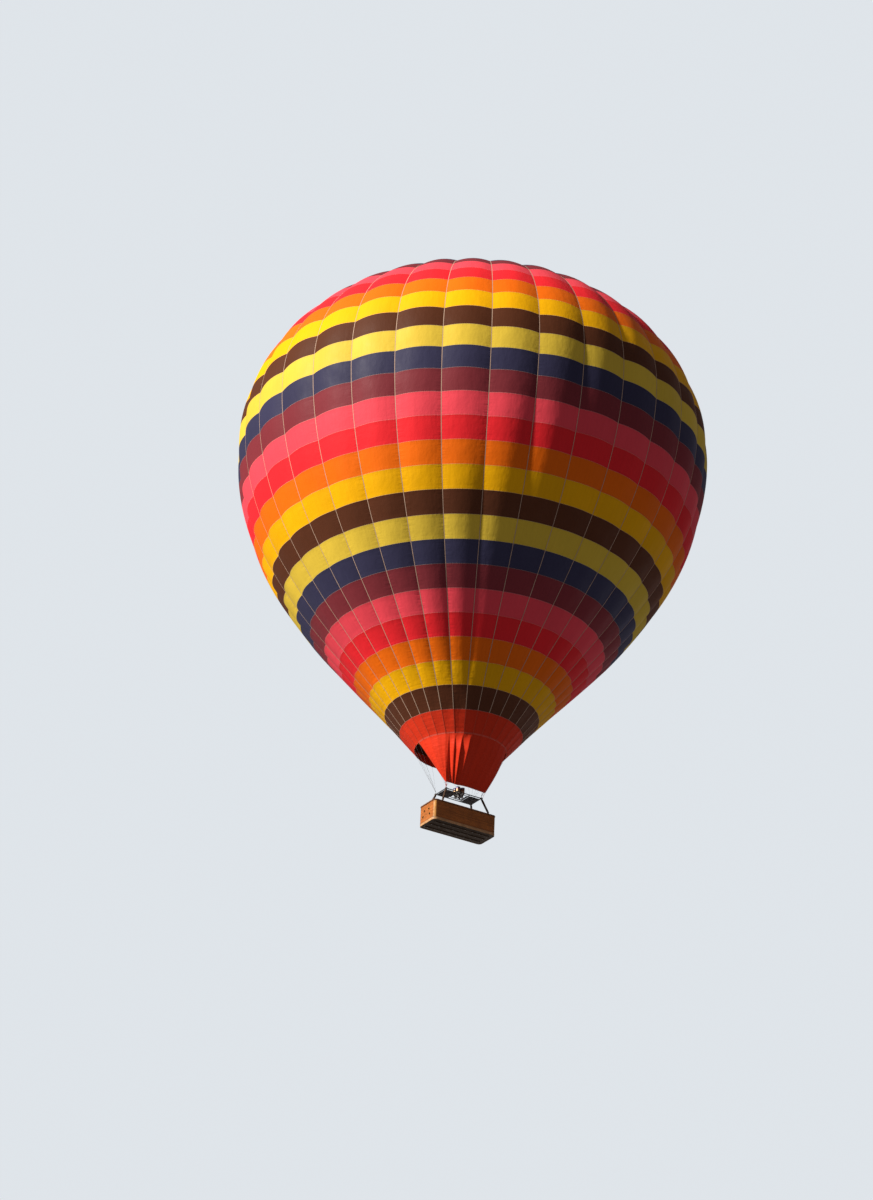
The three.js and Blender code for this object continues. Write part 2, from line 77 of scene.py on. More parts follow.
def photo_camera():
    data = bpy.data.cameras.new("photo_camera")
    data.lens = LENS
    data.clip_start = 1.0
    data.clip_end = 2000.0
    camera = bpy.data.objects.new("photo_camera", data)
    bpy.context.scene.collection.objects.link(camera)
    camera.location = direction(CAMERA_BEARING) * CAMERA_AWAY + Vector((0, 0, CAMERA_HEIGHT))
    heading = CAMERA_BEARING + math.pi - CAMERA_YAW
    forward = direction(heading, CAMERA_PITCH)
    right = direction(heading - math.pi / 2)
    up = right.cross(forward)
    turn, lean = math.cos(CAMERA_ROLL), math.sin(CAMERA_ROLL)
    across, upward = right * turn - up * lean, right * lean + up * turn
    axes = Matrix((across, upward, -forward)).transposed()
    camera.rotation_euler = axes.to_euler()
    bpy.context.scene.camera = camera
    return camera


camera = photo_camera()
print("camera stands at", tuple(round(x, 1) for x in camera.location))

# %% [markdown]
# ## Light and backdrop
# One low, warm sun from the left models every gore, and an even fill keeps the far side readable.
# The real cloth lets a little daylight through, so a weak, wide lamp hangs inside the envelope.
# Glowing cloth would be truer, but it needs many more samples for the same dim light. The world
# shows a pale backdrop to the camera but gives only the fill to the pieces, which is done with the
# Light Path node.

# %% Light and backdrop
SUN_LEFT = math.radians(60)  # how far the sun stands to the left of the camera, round the balloon
SUN_RISE = math.radians(26)
SUN_STRENGTH = 7.2
SUN_SOFTNESS = math.radians(4)
SUN_COLOUR = (1.0, 0.94, 0.86)
GLOW = 500.0  # watts of the lamp inside the envelope
GLOW_RADIUS = 4.0
GLOW_HEIGHT = -3.0
GLOW_COLOUR = (1.0, 0.8, 0.62)
FILL = 0.19
FILL_COLOUR = (1.0, 0.93, 0.97, 1.0)
BACKDROP_COLOUR = (0.74, 0.78, 0.82, 1.0)


def colour(red, green, blue):
    return (red, green, blue, 1.0)


def add_lamp(name, kind, energy, tint):
    data = bpy.data.lights.new(name, kind)
    data.energy = energy
    data.color = tint
    lamp = bpy.data.objects.new(name, data)
    bpy.context.scene.collection.objects.link(lamp)
    return lamp


def light_the_stage():
    sun = add_lamp("sun", "SUN", SUN_STRENGTH, SUN_COLOUR)
    sun.data.angle = SUN_SOFTNESS
    sun.rotation_euler = direction(CAMERA_BEARING - SUN_LEFT, SUN_RISE).to_track_quat("Z", "Y").to_euler()
    glow = add_lamp("glow", "POINT", GLOW, GLOW_COLOUR)
    glow.data.shadow_soft_size = GLOW_RADIUS
    glow.location = (0.0, 0.0, GLOW_HEIGHT)

    world = bpy.data.worlds.new("studio")
    bpy.context.scene.world = world
    world.use_nodes = True
    nodes, links = world.node_tree.nodes, world.node_tree.links
    fill = nodes["Background"]
    fill.inputs["Color"].default_value = FILL_COLOUR
    fill.inputs["Strength"].default_value = FILL
    backdrop = nodes.new("ShaderNodeBackground")
    backdrop.inputs["Color"].default_value = BACKDROP_COLOUR
    seen = nodes.new("ShaderNodeLightPath")
    choose = nodes.new("ShaderNodeMixShader")
    links.new(seen.outputs["Is Camera Ray"], choose.inputs["Fac"])
    links.new(fill.outputs["Background"], choose.inputs[1])
    links.new(backdrop.outputs["Background"], choose.inputs[2])
    links.new(choose.outputs["Shader"], nodes["World Output"].inputs["Surface"])
    bpy.context.scene.view_settings.view_transform = "Standard"


light_the_stage()

# %% [markdown]
# ## Finishes
# Every finish below is a small network of shader nodes. One class keeps them readable: each of its
# methods adds a node, or a few that come back again and again, and gives the output. The last one
# sets colour, roughness and bumps on the shader, which is all that most finishes need.

# %% Finishes


class Finish:
    """A material made of shader nodes. Uniform values go straight on the shader's sockets."""

    def __init__(self, name, **uniform):
        self.material = bpy.data.materials.new(name)
        self.material.use_nodes = True
        self.tree = self.material.node_tree
        self.shader = self.tree.nodes["Principled BSDF"]
        self.place = self.node("TexCoord")["Object"]
        for socket, value in uniform.items():
            self.put(self.shader.inputs[socket.replace("_", " ")], value)

    def put(self, socket, value):
        if isinstance(value, bpy.types.NodeSocket):
            self.tree.links.new(value, socket)
        else:
            socket.default_value = value

    def node(self, kind, values=None, **settings):
        """Adds a shader node. Values are numbers or other nodes' outputs."""
        made = self.tree.nodes.new("ShaderNode" + kind)
        for name, setting in settings.items():
            setattr(made, name, setting)
        for name, value in (values or {}).items():
            self.put(made.inputs[name], value)
        return made.outputs

    def layer(self, name):
        return self.node("UVMap", uv_map=name)[0]

    def split(self, vector):
        return self.node("SeparateXYZ", {0: vector})

    def calc(self, operation, *values):
        return self.node("Math", dict(enumerate(values)), operation=operation)[0]

    def times(self, *values):
        return reduce(lambda first, second: self.calc("MULTIPLY", first, second), values)

    def between(self, value, low, high, start=0.0, end=1.0):
        """Runs from start to end as the value goes from low to high, and stays there."""
        values = {"Value": value, "From Min": low, "From Max": high, "To Min": start, "To Max": end}
        return self.node("MapRange", values)["Result"]

    def mixed(self, share, first, second, blend_type="MIX"):
        values = {0: share, 6: first, 7: second}
        return self.node("Mix", values, data_type="RGBA", blend_type=blend_type)[2]

    def tinted(self, tint, value):
        """A colour made lighter or darker: the tint times a grey value."""
        grey = self.node("CombineColor", {0: value, 1: value, 2: value})[0]
        return self.mixed(1.0, tint, grey, "MULTIPLY")

    def stretched(self, at, x=1.0, y=1.0, z=1.0):
        return self.node("Mapping", {"Vector": at, "Scale": (x, y, z)})[0]

    def noise(self, at, scale, detail=2.0, roughness=0.5):
        values = {"Vector": at, "Scale": scale, "Detail": detail, "Roughness": roughness}
        return self.node("TexNoise", values)[0]

    def patches(self, at, scale, detail, start, end, roughness=0.5, low=0.3, high=0.7):
        """Soft patches of noise that run from start to end."""
        return self.between(self.noise(at, scale, detail, roughness), low, high, start, end)

    def roll(self, first, second):
        """A random number for each pair of whole numbers."""
        pair = {0: self.calc("FLOOR", first), 1: self.calc("FLOOR", second)}
        values = {"Vector": self.node("CombineXYZ", pair)[0]}
        return self.node("TexWhiteNoise", values, noise_dimensions="2D")[0]

    def threads(self, at, width, height, gap, smooth, offset):
        """The lines between cells of a woven grid."""
        values = {"Vector": at, "Scale": 1.0, "Brick Width": width, "Row Height": height,
                  "Mortar Size": gap, "Mortar Smooth": smooth}
        return self.node("TexBrick", values, offset=offset)[1]

    def dress(self, base, roughness, *bumps):
        """Sets the shader. A bump is a height from 0 to 1 and its depth in metres, the lowest first."""
        self.put(self.shader.inputs["Base Color"], base)
        self.put(self.shader.inputs["Roughness"], roughness)
        for height, depth in bumps:
            values = {"Height": height, "Distance": depth, "Strength": 1.0}
            if self.shader.inputs["Normal"].is_linked:
                values["Normal"] = self.shader.inputs["Normal"].links[0].from_socket
            self.put(self.shader.inputs["Normal"], self.node("Bump", values)[0])
        return self.material


# %% [markdown]
# ## Mesh helpers
# Cloth, rope, tube and cane are all grids of points: rows that run along the piece and columns
# round or across it. One function turns a grid into faces and another turns points and faces into
# a piece that rides on a body of the model. A pile gathers many small shapes into one piece.

# %% Mesh helpers
SHARP = math.radians(40)  # edges of small pieces that turn more than this stay sharp


def grid_faces(rows, columns, ring=False, tube=False):
    """Faces of a grid of points. A ring's last column joins its first, a tube's last row its first."""
    wide = columns if ring else columns - 1
    tall = rows if tube else rows - 1
    row, column = np.meshgrid(np.arange(tall), np.arange(wide), indexing="ij")
    higher, beside = (row + 1) % rows, (column + 1) % columns
    corners = ((row, column), (row, beside), (higher, beside), (higher, column))
    return np.stack([up * columns + across for up, across in corners], -1).reshape(-1, 4)


def piece(name, points, faces, finishes, body="balloon", slot=None, replaces=(), which=None):
    """Makes a mesh piece from points and faces, rides it on a body and hides the parts it replaces."""
    mesh = bpy.data.meshes.new(name)
    faces = [tuple(int(corner) for corner in face) for face in faces]
    mesh.from_pydata(np.asarray(points, float).reshape(-1, 3).tolist(), [], faces)
    for finish in finishes if isinstance(finishes, list) else [finishes]:
        mesh.materials.append(finish)
    if which is not None:
        mesh.polygons.foreach_set("material_index", np.asarray(which, np.int32))
    mesh.polygons.foreach_set("use_smooth", np.full(len(mesh.polygons), True))
    mesh.update()
    made = bpy.data.objects.new(name, mesh)
    bpy.context.scene.collection.objects.link(made)
    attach(made, body)
    if replaces:
        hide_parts(*replaces)
    return made


def add_uv(made, name, corners):
    """Adds a UV layer from one pair of numbers for each corner of each face."""
    layer = made.data.uv_layers.new(name=name)
    layer.data.foreach_set("uv", np.asarray(corners, np.float32).ravel())


class Pile:
    """Points and faces of many small shapes that become one piece."""

    def __init__(self):
        self.points, self.faces, self.which, self.count = [], [], [], 0

    def add(self, points, faces, finish=0):
        points = np.asarray(points, float).reshape(-1, 3)
        self.points.append(points)
        self.faces += [tuple(int(corner) + self.count for corner in face) for face in faces]
        self.which += [finish] * len(faces)
        self.count += len(points)

    def piece(self, name, finishes, **settings):
        made = piece(name, np.concatenate(self.points), self.faces, finishes, which=self.which, **settings)
        made.data.set_sharp_from_angle(angle=SHARP)
        print(name, "has", sum(len(face) - 2 for face in self.faces), "triangles")
        return made


def circle(count):
    """Angles once round, in even steps."""
    return np.arange(count) * 2 * math.pi / count


def above(points, rise):
    """Points moved straight up."""
    return points + np.array([0.0, 0.0, rise])


def raised(plan, height):
    """Points in plan with their height: one for all, one for each row or one for each point."""
    return np.concatenate([plan, np.broadcast_to(np.asarray(height)[..., None], (*plan.shape[:-1], 1))], -1)


def swung(level, side, angle):
    """X and Y of a place so far out from the axis, and so far to its left, at an angle round it."""
    return level * np.cos(angle) - side * np.sin(angle), level * np.sin(angle) + side * np.cos(angle)


def tube(path, radius, sides=12, closed=False):
    """Points and faces of a round tube along a path. The radius is one number or one for each point."""
    path = np.asarray(path, float)
    count = len(path)
    along = np.roll(path, -1, 0) - np.roll(path, 1, 0) if closed else np.gradient(path, axis=0)
    along /= np.linalg.norm(along, axis=1)[:, None]
    side = np.cross(along[0], (0.0, 0.0, 1.0))
    if np.linalg.norm(side) < 0.1:
        side = np.cross(along[0], (1.0, 0.0, 0.0))
    radii = np.broadcast_to(np.asarray(radius, float), (count,))
    angles = circle(sides)
    rings = []
    for point, forward, size in zip(path, along, radii):
        side = side - forward * side.dot(forward)
        side /= np.linalg.norm(side)
        other = np.cross(forward, side)
        rings.append(point + size * (np.outer(np.cos(angles), side) + np.outer(np.sin(angles), other)))
    faces = [tuple(face) for face in grid_faces(count, sides, ring=True, tube=closed)]
    if not closed:
        faces.append(tuple(range(sides))[::-1])
        faces.append(tuple(range((count - 1) * sides, count * sides)))
    return np.concatenate(rings), faces


# %% [markdown]
# ## The envelope's shape
# The fabric hangs between 32 load tapes. Each tape follows the meridian, which is read here from
# the model's rings: the corner points at each tape, from the mouth to the crown's opening. Places
# along it are counted in panels, from -1 at the mouth to 27 at the crown. Between the rings' edges
# a smooth curve is laid through the points, because a polygon would show as rings in the light.

# %% Meridian
GORES = 32
GORE = 2 * math.pi / GORES
BANDS = ["mouth_band"] + sorted(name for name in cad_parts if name.startswith("stripe_"))
FIRST_PLACE = -1
LAST_PLACE = len(BANDS) - 1


def tape_corners(name):
    """The four corners of a ring's wall where it meets a tape, as radius and height."""
    points = np.array([vertex.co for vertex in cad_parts[name].data.vertices])
    turn = np.arctan2(points[:, 1], points[:, 0]) / GORE
    on_tape = points[np.abs(turn - 0.5 - np.round(turn - 0.5)) < 0.02]
    pairs = np.round(np.stack([np.hypot(on_tape[:, 0], on_tape[:, 1]), on_tape[:, 2]], 1), 4)
    return np.unique(pairs, axis=0)


def outer_rows():
    """The outer face's radius and height at each band's lower edge, and at the last band's upper one."""
    corners = [tape_corners(name) for name in BANDS]
    middles = np.array([points.mean(0) for points in corners])
    along = np.gradient(middles, axis=0)
    along /= np.linalg.norm(along, axis=1)[:, None]
    rows = []
    for points, middle, forward in zip(corners, middles, along):
        outward = np.array([forward[1], -forward[0]])
        for upper in (False, True):
            edge = points[((points - middle) @ forward > 0) == upper]
            rows.append(edge[np.argmax(edge @ outward)])
    return np.array(rows[::2] + [rows[-1]])


ROWS = outer_rows()


def meridian(place):
    """Radius, height and slope (from the vertical, out) at places along the tapes, by a smooth curve."""
    place = np.asarray(place, float)
    padded = np.concatenate([2 * ROWS[:1] - ROWS[1:2], ROWS, 2 * ROWS[-1:] - ROWS[-2:-1]])
    start = np.clip(np.floor(place - FIRST_PLACE).astype(int), 0, len(ROWS) - 2)
    part = (place - FIRST_PLACE - start)[..., None]
    a, b, c, d = (padded[start + step] for step in range(4))
    point = 0.5 * (2 * b + (c - a) * part + (2 * a - 5 * b + 4 * c - d) * part**2
                   + (3 * b - a - 3 * c + d) * part**3)
    ahead = 0.5 * ((c - a) + 2 * (2 * a - 5 * b + 4 * c - d) * part + 3 * (3 * b - a - 3 * c + d) * part**2)
    slope = np.arctan2(ahead[..., 0], ahead[..., 1])
    return point[..., 0], point[..., 1], slope


PANEL = float(np.linalg.norm(ROWS[10] - ROWS[9]))  # every panel is equally high
print("bands:", len(BANDS), "panel height:", round(PANEL, 3), "widest radius:", round(ROWS[:, 0].max(), 2))

# %% [markdown]
# ## The gores' shape
# Hot air pushes each strip of fabric out between its tapes, into a shallow arch. The arch is made
# by moving points out along the surface's normal, most in the middle. The horizontal seams ride up
# a little in the middle too, because there the fabric has further to go. Slow waves, worked out
# from sines, keep all gores from looking cut by one stamp.

# %% Gores
BULGE = 0.088  # height of the arch, as a share of the width between two tapes
SCALLOP = 0.06  # how far a seam rides up in the middle of a gore, at the mouth
EDGE_FADE = 2  # panels over which the arch dies out at the mouth band and at the crown's opening
WAVES = ((0.06, 2.3, 1.1, 0), (0.04, 1.7, -0.7, 2))  # height, and turns for each gore, panel and start


def smooth_step(value):
    value = np.clip(value, 0, 1)
    return value * value * (3 - 2 * value)


def gore_point(place, gore, across, lift=0.0):
    """A point on the fabric. Across goes from -1 on one tape to 1 on the next; lift is out, in metres."""
    place, gore, across = np.broadcast_arrays(*(np.asarray(x, float) for x in (place, gore, across)))
    radius, height, slope = meridian(place)
    half = radius * math.sin(GORE / 2)
    fade = smooth_step(np.minimum(place, LAST_PLACE - place) / EDGE_FADE)
    wave = 1 + sum(high * np.sin(a * gore + b * place + start) for high, a, b, start in WAVES)
    arch = (1 - across**2) * fade
    out = 2 * half * BULGE * wave * arch + lift
    along = SCALLOP * (1 - place / LAST_PLACE) * arch
    level = radius * math.cos(GORE / 2) + out * np.cos(slope) + along * np.sin(slope)
    x, y = swung(level, across * half, gore * GORE)
    return np.stack([x, y, height - out * np.sin(slope) + along * np.cos(slope)], -1)


# %% [markdown]
# ## Balloon cloth
# The cloth is coated ripstop nylon: thin, with a fine grid of thicker threads, a satin coating and
# soft creases. The finish reads two UV layers that the mesh gives in metres. One is the cloth's own
# grid, for threads and stitches, and the other is the distance to the nearest tape and to the
# nearest horizontal seam, for the puckers and the sewn edge. Each panel has a slightly different
# tone, since it comes from another part of the roll.

# %% Balloon cloth
CLOTH_COLOURS = {
    "brown": colour(0.076, 0.0235, 0.010),
    "gold": colour(0.77, 0.385, 0.0015),
    "orange": colour(0.76, 0.135, 0.004),
    "red": colour(0.73, 0.020, 0.028),
    "pink": colour(0.735, 0.060, 0.085),
    "maroon": colour(0.175, 0.025, 0.033),
    "navy": colour(0.031, 0.030, 0.066),
    "straw": colour(0.62, 0.44, 0.045),
    "scarlet": colour(0.62, 0.036, 0.012),
}
RIPSTOP = 0.008  # width of the cloth's grid
SEAM = 0.014  # half width of the sewn fold at a seam
STITCHES = 900.0  # how fast the thread goes over and under, as an angle for each metre


def balloon_cloth(name):
    look = Finish("cloth_" + name, Specular_IOR_Level=0.07)
    cloth = look.layer("cloth")
    from_tape, from_seam = look.split(look.layer("edge"))[:2]
    gore, panel = look.split(look.layer("panel"))[:2]

    tone = look.between(look.roll(gore, panel), 0, 1, 0.95, 1.04)
    fading = look.patches(look.place, 0.35, 3, 0.96, 1.03)
    streaks = look.patches(look.stretched(cloth, 9, 0.5), 1.0, 3, 1.02, 0.965, low=0.35)
    # The cloth is drawn up to 7 % darker within 12 cm of each tape and horizontal seam.
    darker_near_tapes_and_seams = look.between(look.calc("MINIMUM", from_tape, from_seam), 0, 0.12, 0.93, 1.0)
    base = look.tinted(CLOTH_COLOURS[name], look.times(tone, fading, streaks, darker_near_tapes_and_seams))

    fold = look.between(from_seam, SEAM, SEAM * 1.3, 1.0, 0.0)
    over = look.calc("GREATER_THAN", look.calc("SINE", look.times(look.split(cloth)[0], STITCHES)), -0.3)
    thread = look.times(over, look.calc("COMPARE", from_seam, SEAM * 0.6, 0.0012))
    sewn = look.mixed(look.times(fold, 0.07), base, colour(0.85, 0.72, 0.6))
    sewn = look.mixed(look.times(thread, 0.4), sewn, colour(0.8, 0.76, 0.7))

    creases = look.noise(look.stretched(cloth, 1.0, 0.6), 1.6, 4, 0.55)
    near_tape = look.between(from_tape, 0.0, 0.45, 1.0, 0.0)
    gathers = look.times(look.noise(look.stretched(cloth, 1.2, 7), 1.0, 2), near_tape)
    near_seam = look.between(from_seam, 0.0, 0.2, 1.0, 0.0)
    puckers = look.times(look.noise(look.stretched(cloth, 9, 1.5), 1.0, 2), near_seam)
    grid = look.threads(cloth, RIPSTOP, RIPSTOP, 0.06 * RIPSTOP, 0.5, 0.0)
    bumps = ((creases, 0.03), (gathers, 0.022), (puckers, 0.012), (fold, 0.0008), (grid, 0.0002))
    return look.dress(sewn, look.between(creases, 0.3, 0.7, 0.48, 0.62), *bumps)


CLOTH = {name: balloon_cloth(name) for name in CLOTH_COLOURS}
print("cloth colours:", ", ".join(CLOTH))

# %% [markdown]
# ## The fabric rings
# Each horizontal stripe is a ring of 32 panels, sewn to the next. It could be one surface with a
# colour for each height, but a real stripe is its own piece, so each one stands for its own ring of
# the model. Twelve strips across a gore and eight up a panel are enough for the arch to shade
# smoothly. The edges on the tapes are marked sharp, because the cloth really creases there, and
# the cut edges too: otherwise their thin rims would bend the shading of the last row of faces.

# %% Fabric rings
ACROSS = 12  # strips across a gore
UP = 8  # rows up a panel
CLOTH_THICKNESS = 0.004
PANEL_EDGE = 0.001  # keeps a corner's panel number clear of its neighbour's
CREASE_SHIFT = 3.1  # metres between the creases of one gore and those of the next


def mark_sharp(made, chosen):
    """Marks the chosen edges as sharp, besides those that are sharp already."""
    layers = made.data.attributes
    marks = layers.get("sharp_edge") or layers.new("sharp_edge", "BOOLEAN", "EDGE")
    marked = np.zeros(len(made.data.edges), bool)
    marks.data.foreach_get("value", marked)
    marks.data.foreach_set("value", marked | chosen)


def thickened(made, thickness):
    """Gives a sheet its thickness, inwards from the face that shows, with sharp cut edges."""
    sides = np.zeros(len(made.data.loops), np.int32)
    made.data.loops.foreach_get("edge_index", sides)
    mark_sharp(made, np.bincount(sides, minlength=len(made.data.edges)) == 1)
    solidify = made.modifiers.new("thickness", "SOLIDIFY")
    solidify.thickness = thickness
    solidify.offset = -1
    return made


def cloth_layers(made, columns, across, ups, widths, length, lowest=0.0, ring=True):
    """The three UV layers that the cloth's finish reads. Ups and widths have one value for each row."""
    strips = columns if ring else columns - 1
    row, column = np.meshgrid(np.arange(len(ups) - 1), np.arange(strips), indexing="ij")
    corner_row = np.stack([row, row, row + 1, row + 1], -1).reshape(-1)
    corner_column = np.stack([column, column + 1, column + 1, column], -1).reshape(-1)
    gore = np.repeat(column.reshape(-1) // across, 4)
    part = (corner_column - gore * across) / across
    up, width = ups[corner_row], widths[corner_row]
    inside = [np.clip(share, PANEL_EDGE, 1 - PANEL_EDGE) for share in (part, up)]
    add_uv(made, "panel", np.stack([gore + inside[0], lowest + inside[1]], -1))
    add_uv(made, "cloth", np.stack([(part - 0.5) * width + gore * CREASE_SHIFT, (lowest + up) * length], -1))
    add_uv(made, "edge", np.stack([np.minimum(part, 1 - part) * width, np.minimum(up, 1 - up) * length], -1))


def all_gores():
    """Gore and place across it for each column of a ring of cloth."""
    column = np.arange(GORES * ACROSS)
    return column // ACROSS, (column % ACROSS) * 2 / ACROSS - 1


def fabric_ring(name, lowest):
    ups = np.arange(UP + 1) / UP
    gore, across = all_gores()
    columns = len(gore)
    points = gore_point((lowest + ups)[:, None], gore[None], across[None])
    finish = name.split("_")[-1] if name.startswith("stripe_") else "scarlet"
    faces = grid_faces(UP + 1, columns, ring=True)
    ring = piece("cloth_" + name, points, faces, CLOTH[finish], slot="fabric_" + finish, replaces=[name])
    widths = 2 * meridian(lowest + ups)[0] * math.sin(GORE / 2)
    cloth_layers(ring, columns, ACROSS, ups, widths, PANEL, lowest)

    ends = np.zeros(len(ring.data.edges) * 2, np.int32)
    ring.data.edges.foreach_get("vertices", ends)
    ends = ends.reshape(-1, 2) % columns
    mark_sharp(ring, (ends[:, 0] == ends[:, 1]) & (ends[:, 0] % ACROSS == 0))
    return thickened(ring, CLOTH_THICKNESS)


rings = [fabric_ring(name, FIRST_PLACE + number) for number, name in enumerate(BANDS)]
print("fabric rings:", len(rings), "with", sum(len(ring.data.polygons) for ring in rings) * 4, "triangles")

# %% [markdown]
# ## Load tapes
# The tapes carry the whole balloon: flat polyester webbing, sewn up every seam between two gores
# from the mouth to the crown ring. Each is a thin strip with its two edges, laid on the crease and
# lifted just clear of the cloth. The webbing's finish is a herringbone of fine diagonal lines.

# %% Load tapes
TAPE_WIDTH = 0.033
TAPE_THICKNESS = 0.003
TAPE_LIFT = 0.005
TAPE_STEPS = 6  # for each panel


def webbing_finish(name, tint):
    look = Finish(name, Specular_IOR_Level=0.2)
    wave = {"Vector": look.layer("cloth"), "Scale": 130.0, "Distortion": 1.0}
    twill = look.node("TexWave", wave, wave_type="BANDS", bands_direction="DIAGONAL")[1]
    soil = look.patches(look.place, 1.5, 4, 1.05, 0.8, high=0.75)
    value = look.times(look.between(twill, 0, 1, 0.86, 1.0), soil)
    return look.dress(look.tinted(tint, value), look.between(twill, 0, 1, 0.85, 0.7), (twill, 0.0006))


WEBBING = webbing_finish("webbing", colour(0.50, 0.35, 0.26))
RED_WEBBING = webbing_finish("red_webbing", colour(0.62, 0.065, 0.030))


def tape_strips(pile, places, path, finish=0):
    """One flat strip of webbing for each tape. The path gives a point for a place, side and lift."""
    uv = []
    profile = [(-1, 0.0), (-1, 1.0), (1, 1.0), (1, 0.0)]
    spots = np.array([0, TAPE_THICKNESS, TAPE_WIDTH, TAPE_WIDTH + TAPE_THICKNESS])
    faces = grid_faces(len(places), len(profile), ring=True)
    for gore in range(GORES):
        columns = [path(places, gore, side * TAPE_WIDTH / 2, TAPE_LIFT + up * TAPE_THICKNESS)
                   for side, up in profile]
        pile.add(np.stack(columns, 1), faces, finish)
        for face in faces:
            uv += [(spots[corner % 4] + gore, (corner // 4) * PANEL / TAPE_STEPS) for corner in face]
    return uv


def on_tape(places, gore, side, lift):
    radius, height, slope = meridian(places)
    x, y = swung(radius + lift * np.cos(slope), side, (gore + 0.5) * GORE)
    return np.stack([x, y, height - lift * np.sin(slope)], -1)


tape_pile = Pile()
tape_uv = tape_strips(tape_pile, np.linspace(FIRST_PLACE, 0, TAPE_STEPS + 1), on_tape, 1)
tape_uv += tape_strips(tape_pile, np.linspace(0, LAST_PLACE, LAST_PLACE * TAPE_STEPS + 1), on_tape)
load_tapes = tape_pile.piece("load_tapes", [WEBBING, RED_WEBBING], slot="webbing")
add_uv(load_tapes, "cloth", tape_uv)

# %% [markdown]
# ## Parachute valve
# The crown's opening is closed by a loose disc of cloth, the parachute, which is pulled down
# to let hot air out. Air presses it up against the tapes, so it swells a little between them. It
# could be a flat disc, but the light from above would give that away, so its height is read from
# the model's disc by a smooth curve, and each of its 32 gores gets its own shallow swell.

# %% Parachute valve
VALVE_ROWS = 20
VALVE_MIDDLE = 0.004  # the innermost row, as a share of the disc's radius
VALVE_SWELL = 0.05  # height of the swell, as a share of the width between two tapes
SWELL_START = 1 / 6  # share of the radius over which the swell grows, from the edge in


def upper_profile(name):
    """Height of a turned piece's upper face as a smooth function of its radius."""
    points = np.array([vertex.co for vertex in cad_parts[name].data.vertices])
    radius = np.hypot(points[:, 0], points[:, 1])
    ring = np.round(radius / 0.05)
    pairs = np.array([(radius[ring == r].mean(), points[ring == r, 2].max()) for r in np.unique(ring)])
    return pairs[-1, 0], np.poly1d(np.polyfit(pairs[:, 0], pairs[:, 1], 3))


def parachute_valve():
    edge, height_at = upper_profile("parachute_valve")
    rows = np.linspace(1, VALVE_MIDDLE, VALVE_ROWS)[:, None]
    gore, across = all_gores()
    radius = edge * rows
    half = radius * math.sin(GORE / 2)
    swell = 2 * half * VALVE_SWELL * (1 - across**2) * smooth_step((1 - rows) / SWELL_START)
    x, y = swung(radius * math.cos(GORE / 2), half * across, gore * GORE)
    points = np.stack([x, y, height_at(radius) + swell], -1)
    faces = grid_faces(VALVE_ROWS, len(gore), ring=True)
    made = piece("parachute_cloth", points, faces, CLOTH["red"], "valve", "fabric_red", ["parachute_valve"])
    cloth_layers(made, len(gore), ACROSS, np.arange(VALVE_ROWS) / (VALVE_ROWS - 1), 2 * half[:, 0], edge)
    return thickened(made, CLOTH_THICKNESS)


parachute_valve()

# %% [markdown]
# ## Crown tapes and crown ring
# Over the opening the tapes run on alone, like spokes, and each one loops round a metal ring on the
# axis. The strips reuse the load tapes' function, on a path laid over the model's valve disc.
# The loops are short flat bands bent round the ring, because sewn webbing is what holds it.

# %% Crown
CROWN_STEPS = 12
RING_RADIUS = 0.30
RING_TUBE = 0.011
RING_LIFT = 0.012  # how far the tapes rise to the top of the ring
LOOP_GAP = 0.003  # between the ring's tube and the webbing round it


def on_crown(shares, gore, side, lift):
    """A point on a crown tape. Shares go from 0 at the opening's edge to 1 at the crown ring."""
    shares = np.asarray(shares)
    edge = float(ROWS[-1, 0])
    height_at = upper_profile("parachute_valve")[1]
    radius = edge + (RING_RADIUS - edge) * shares
    x, y = swung(radius, side, (gore + 0.5) * GORE)
    drop = float(height_at(edge)) - float(ROWS[-1, 1])
    return np.stack([x, y, height_at(radius) - drop * (1 - shares) + RING_LIFT * shares + lift], -1)


crown_pile = Pile()
crown_uv = tape_strips(crown_pile, np.linspace(0, 1, CROWN_STEPS + 1), on_crown)
crown_height = float(on_crown(1.0, 0, 0.0, 0.0)[2])
turn = circle(12)
faces = grid_faces(len(turn), 2, tube=True)
for gore in range(GORES):
    angle = (gore + 0.5) * GORE
    out = RING_RADIUS + (RING_TUBE + LOOP_GAP) * np.cos(turn)
    up = crown_height + (RING_TUBE + LOOP_GAP) * np.sin(turn)
    edges = [np.stack([*swung(out, side * TAPE_WIDTH / 2, angle), up], -1) for side in (-1, 1)]
    crown_pile.add(np.stack(edges, 1), faces)
    crown_uv += [(0.02 * (corner % 2), 0.01 * (corner // 2)) for face in faces for corner in face]
crown_webbing = crown_pile.piece("crown_webbing", WEBBING, slot="webbing", replaces=["crown_tapes"])
add_uv(crown_webbing, "cloth", crown_uv)

# %% [markdown]
# ## Scoop
# The scoop is a skirt of flameproof cloth below the near side of the mouth. It catches the wind and
# turns it up into the envelope. At the mouth it is as wide as 13 gores, and its hem is tied to the
# two near corners of the load frame, so most of its width falls into folds near the left corner. A
# simulation could find such folds, but their places are known, so a table gives where each gore
# meets the hem and another how far the cloth stands out. Each fold rises slowly from its left and
# falls off steeply on its right.

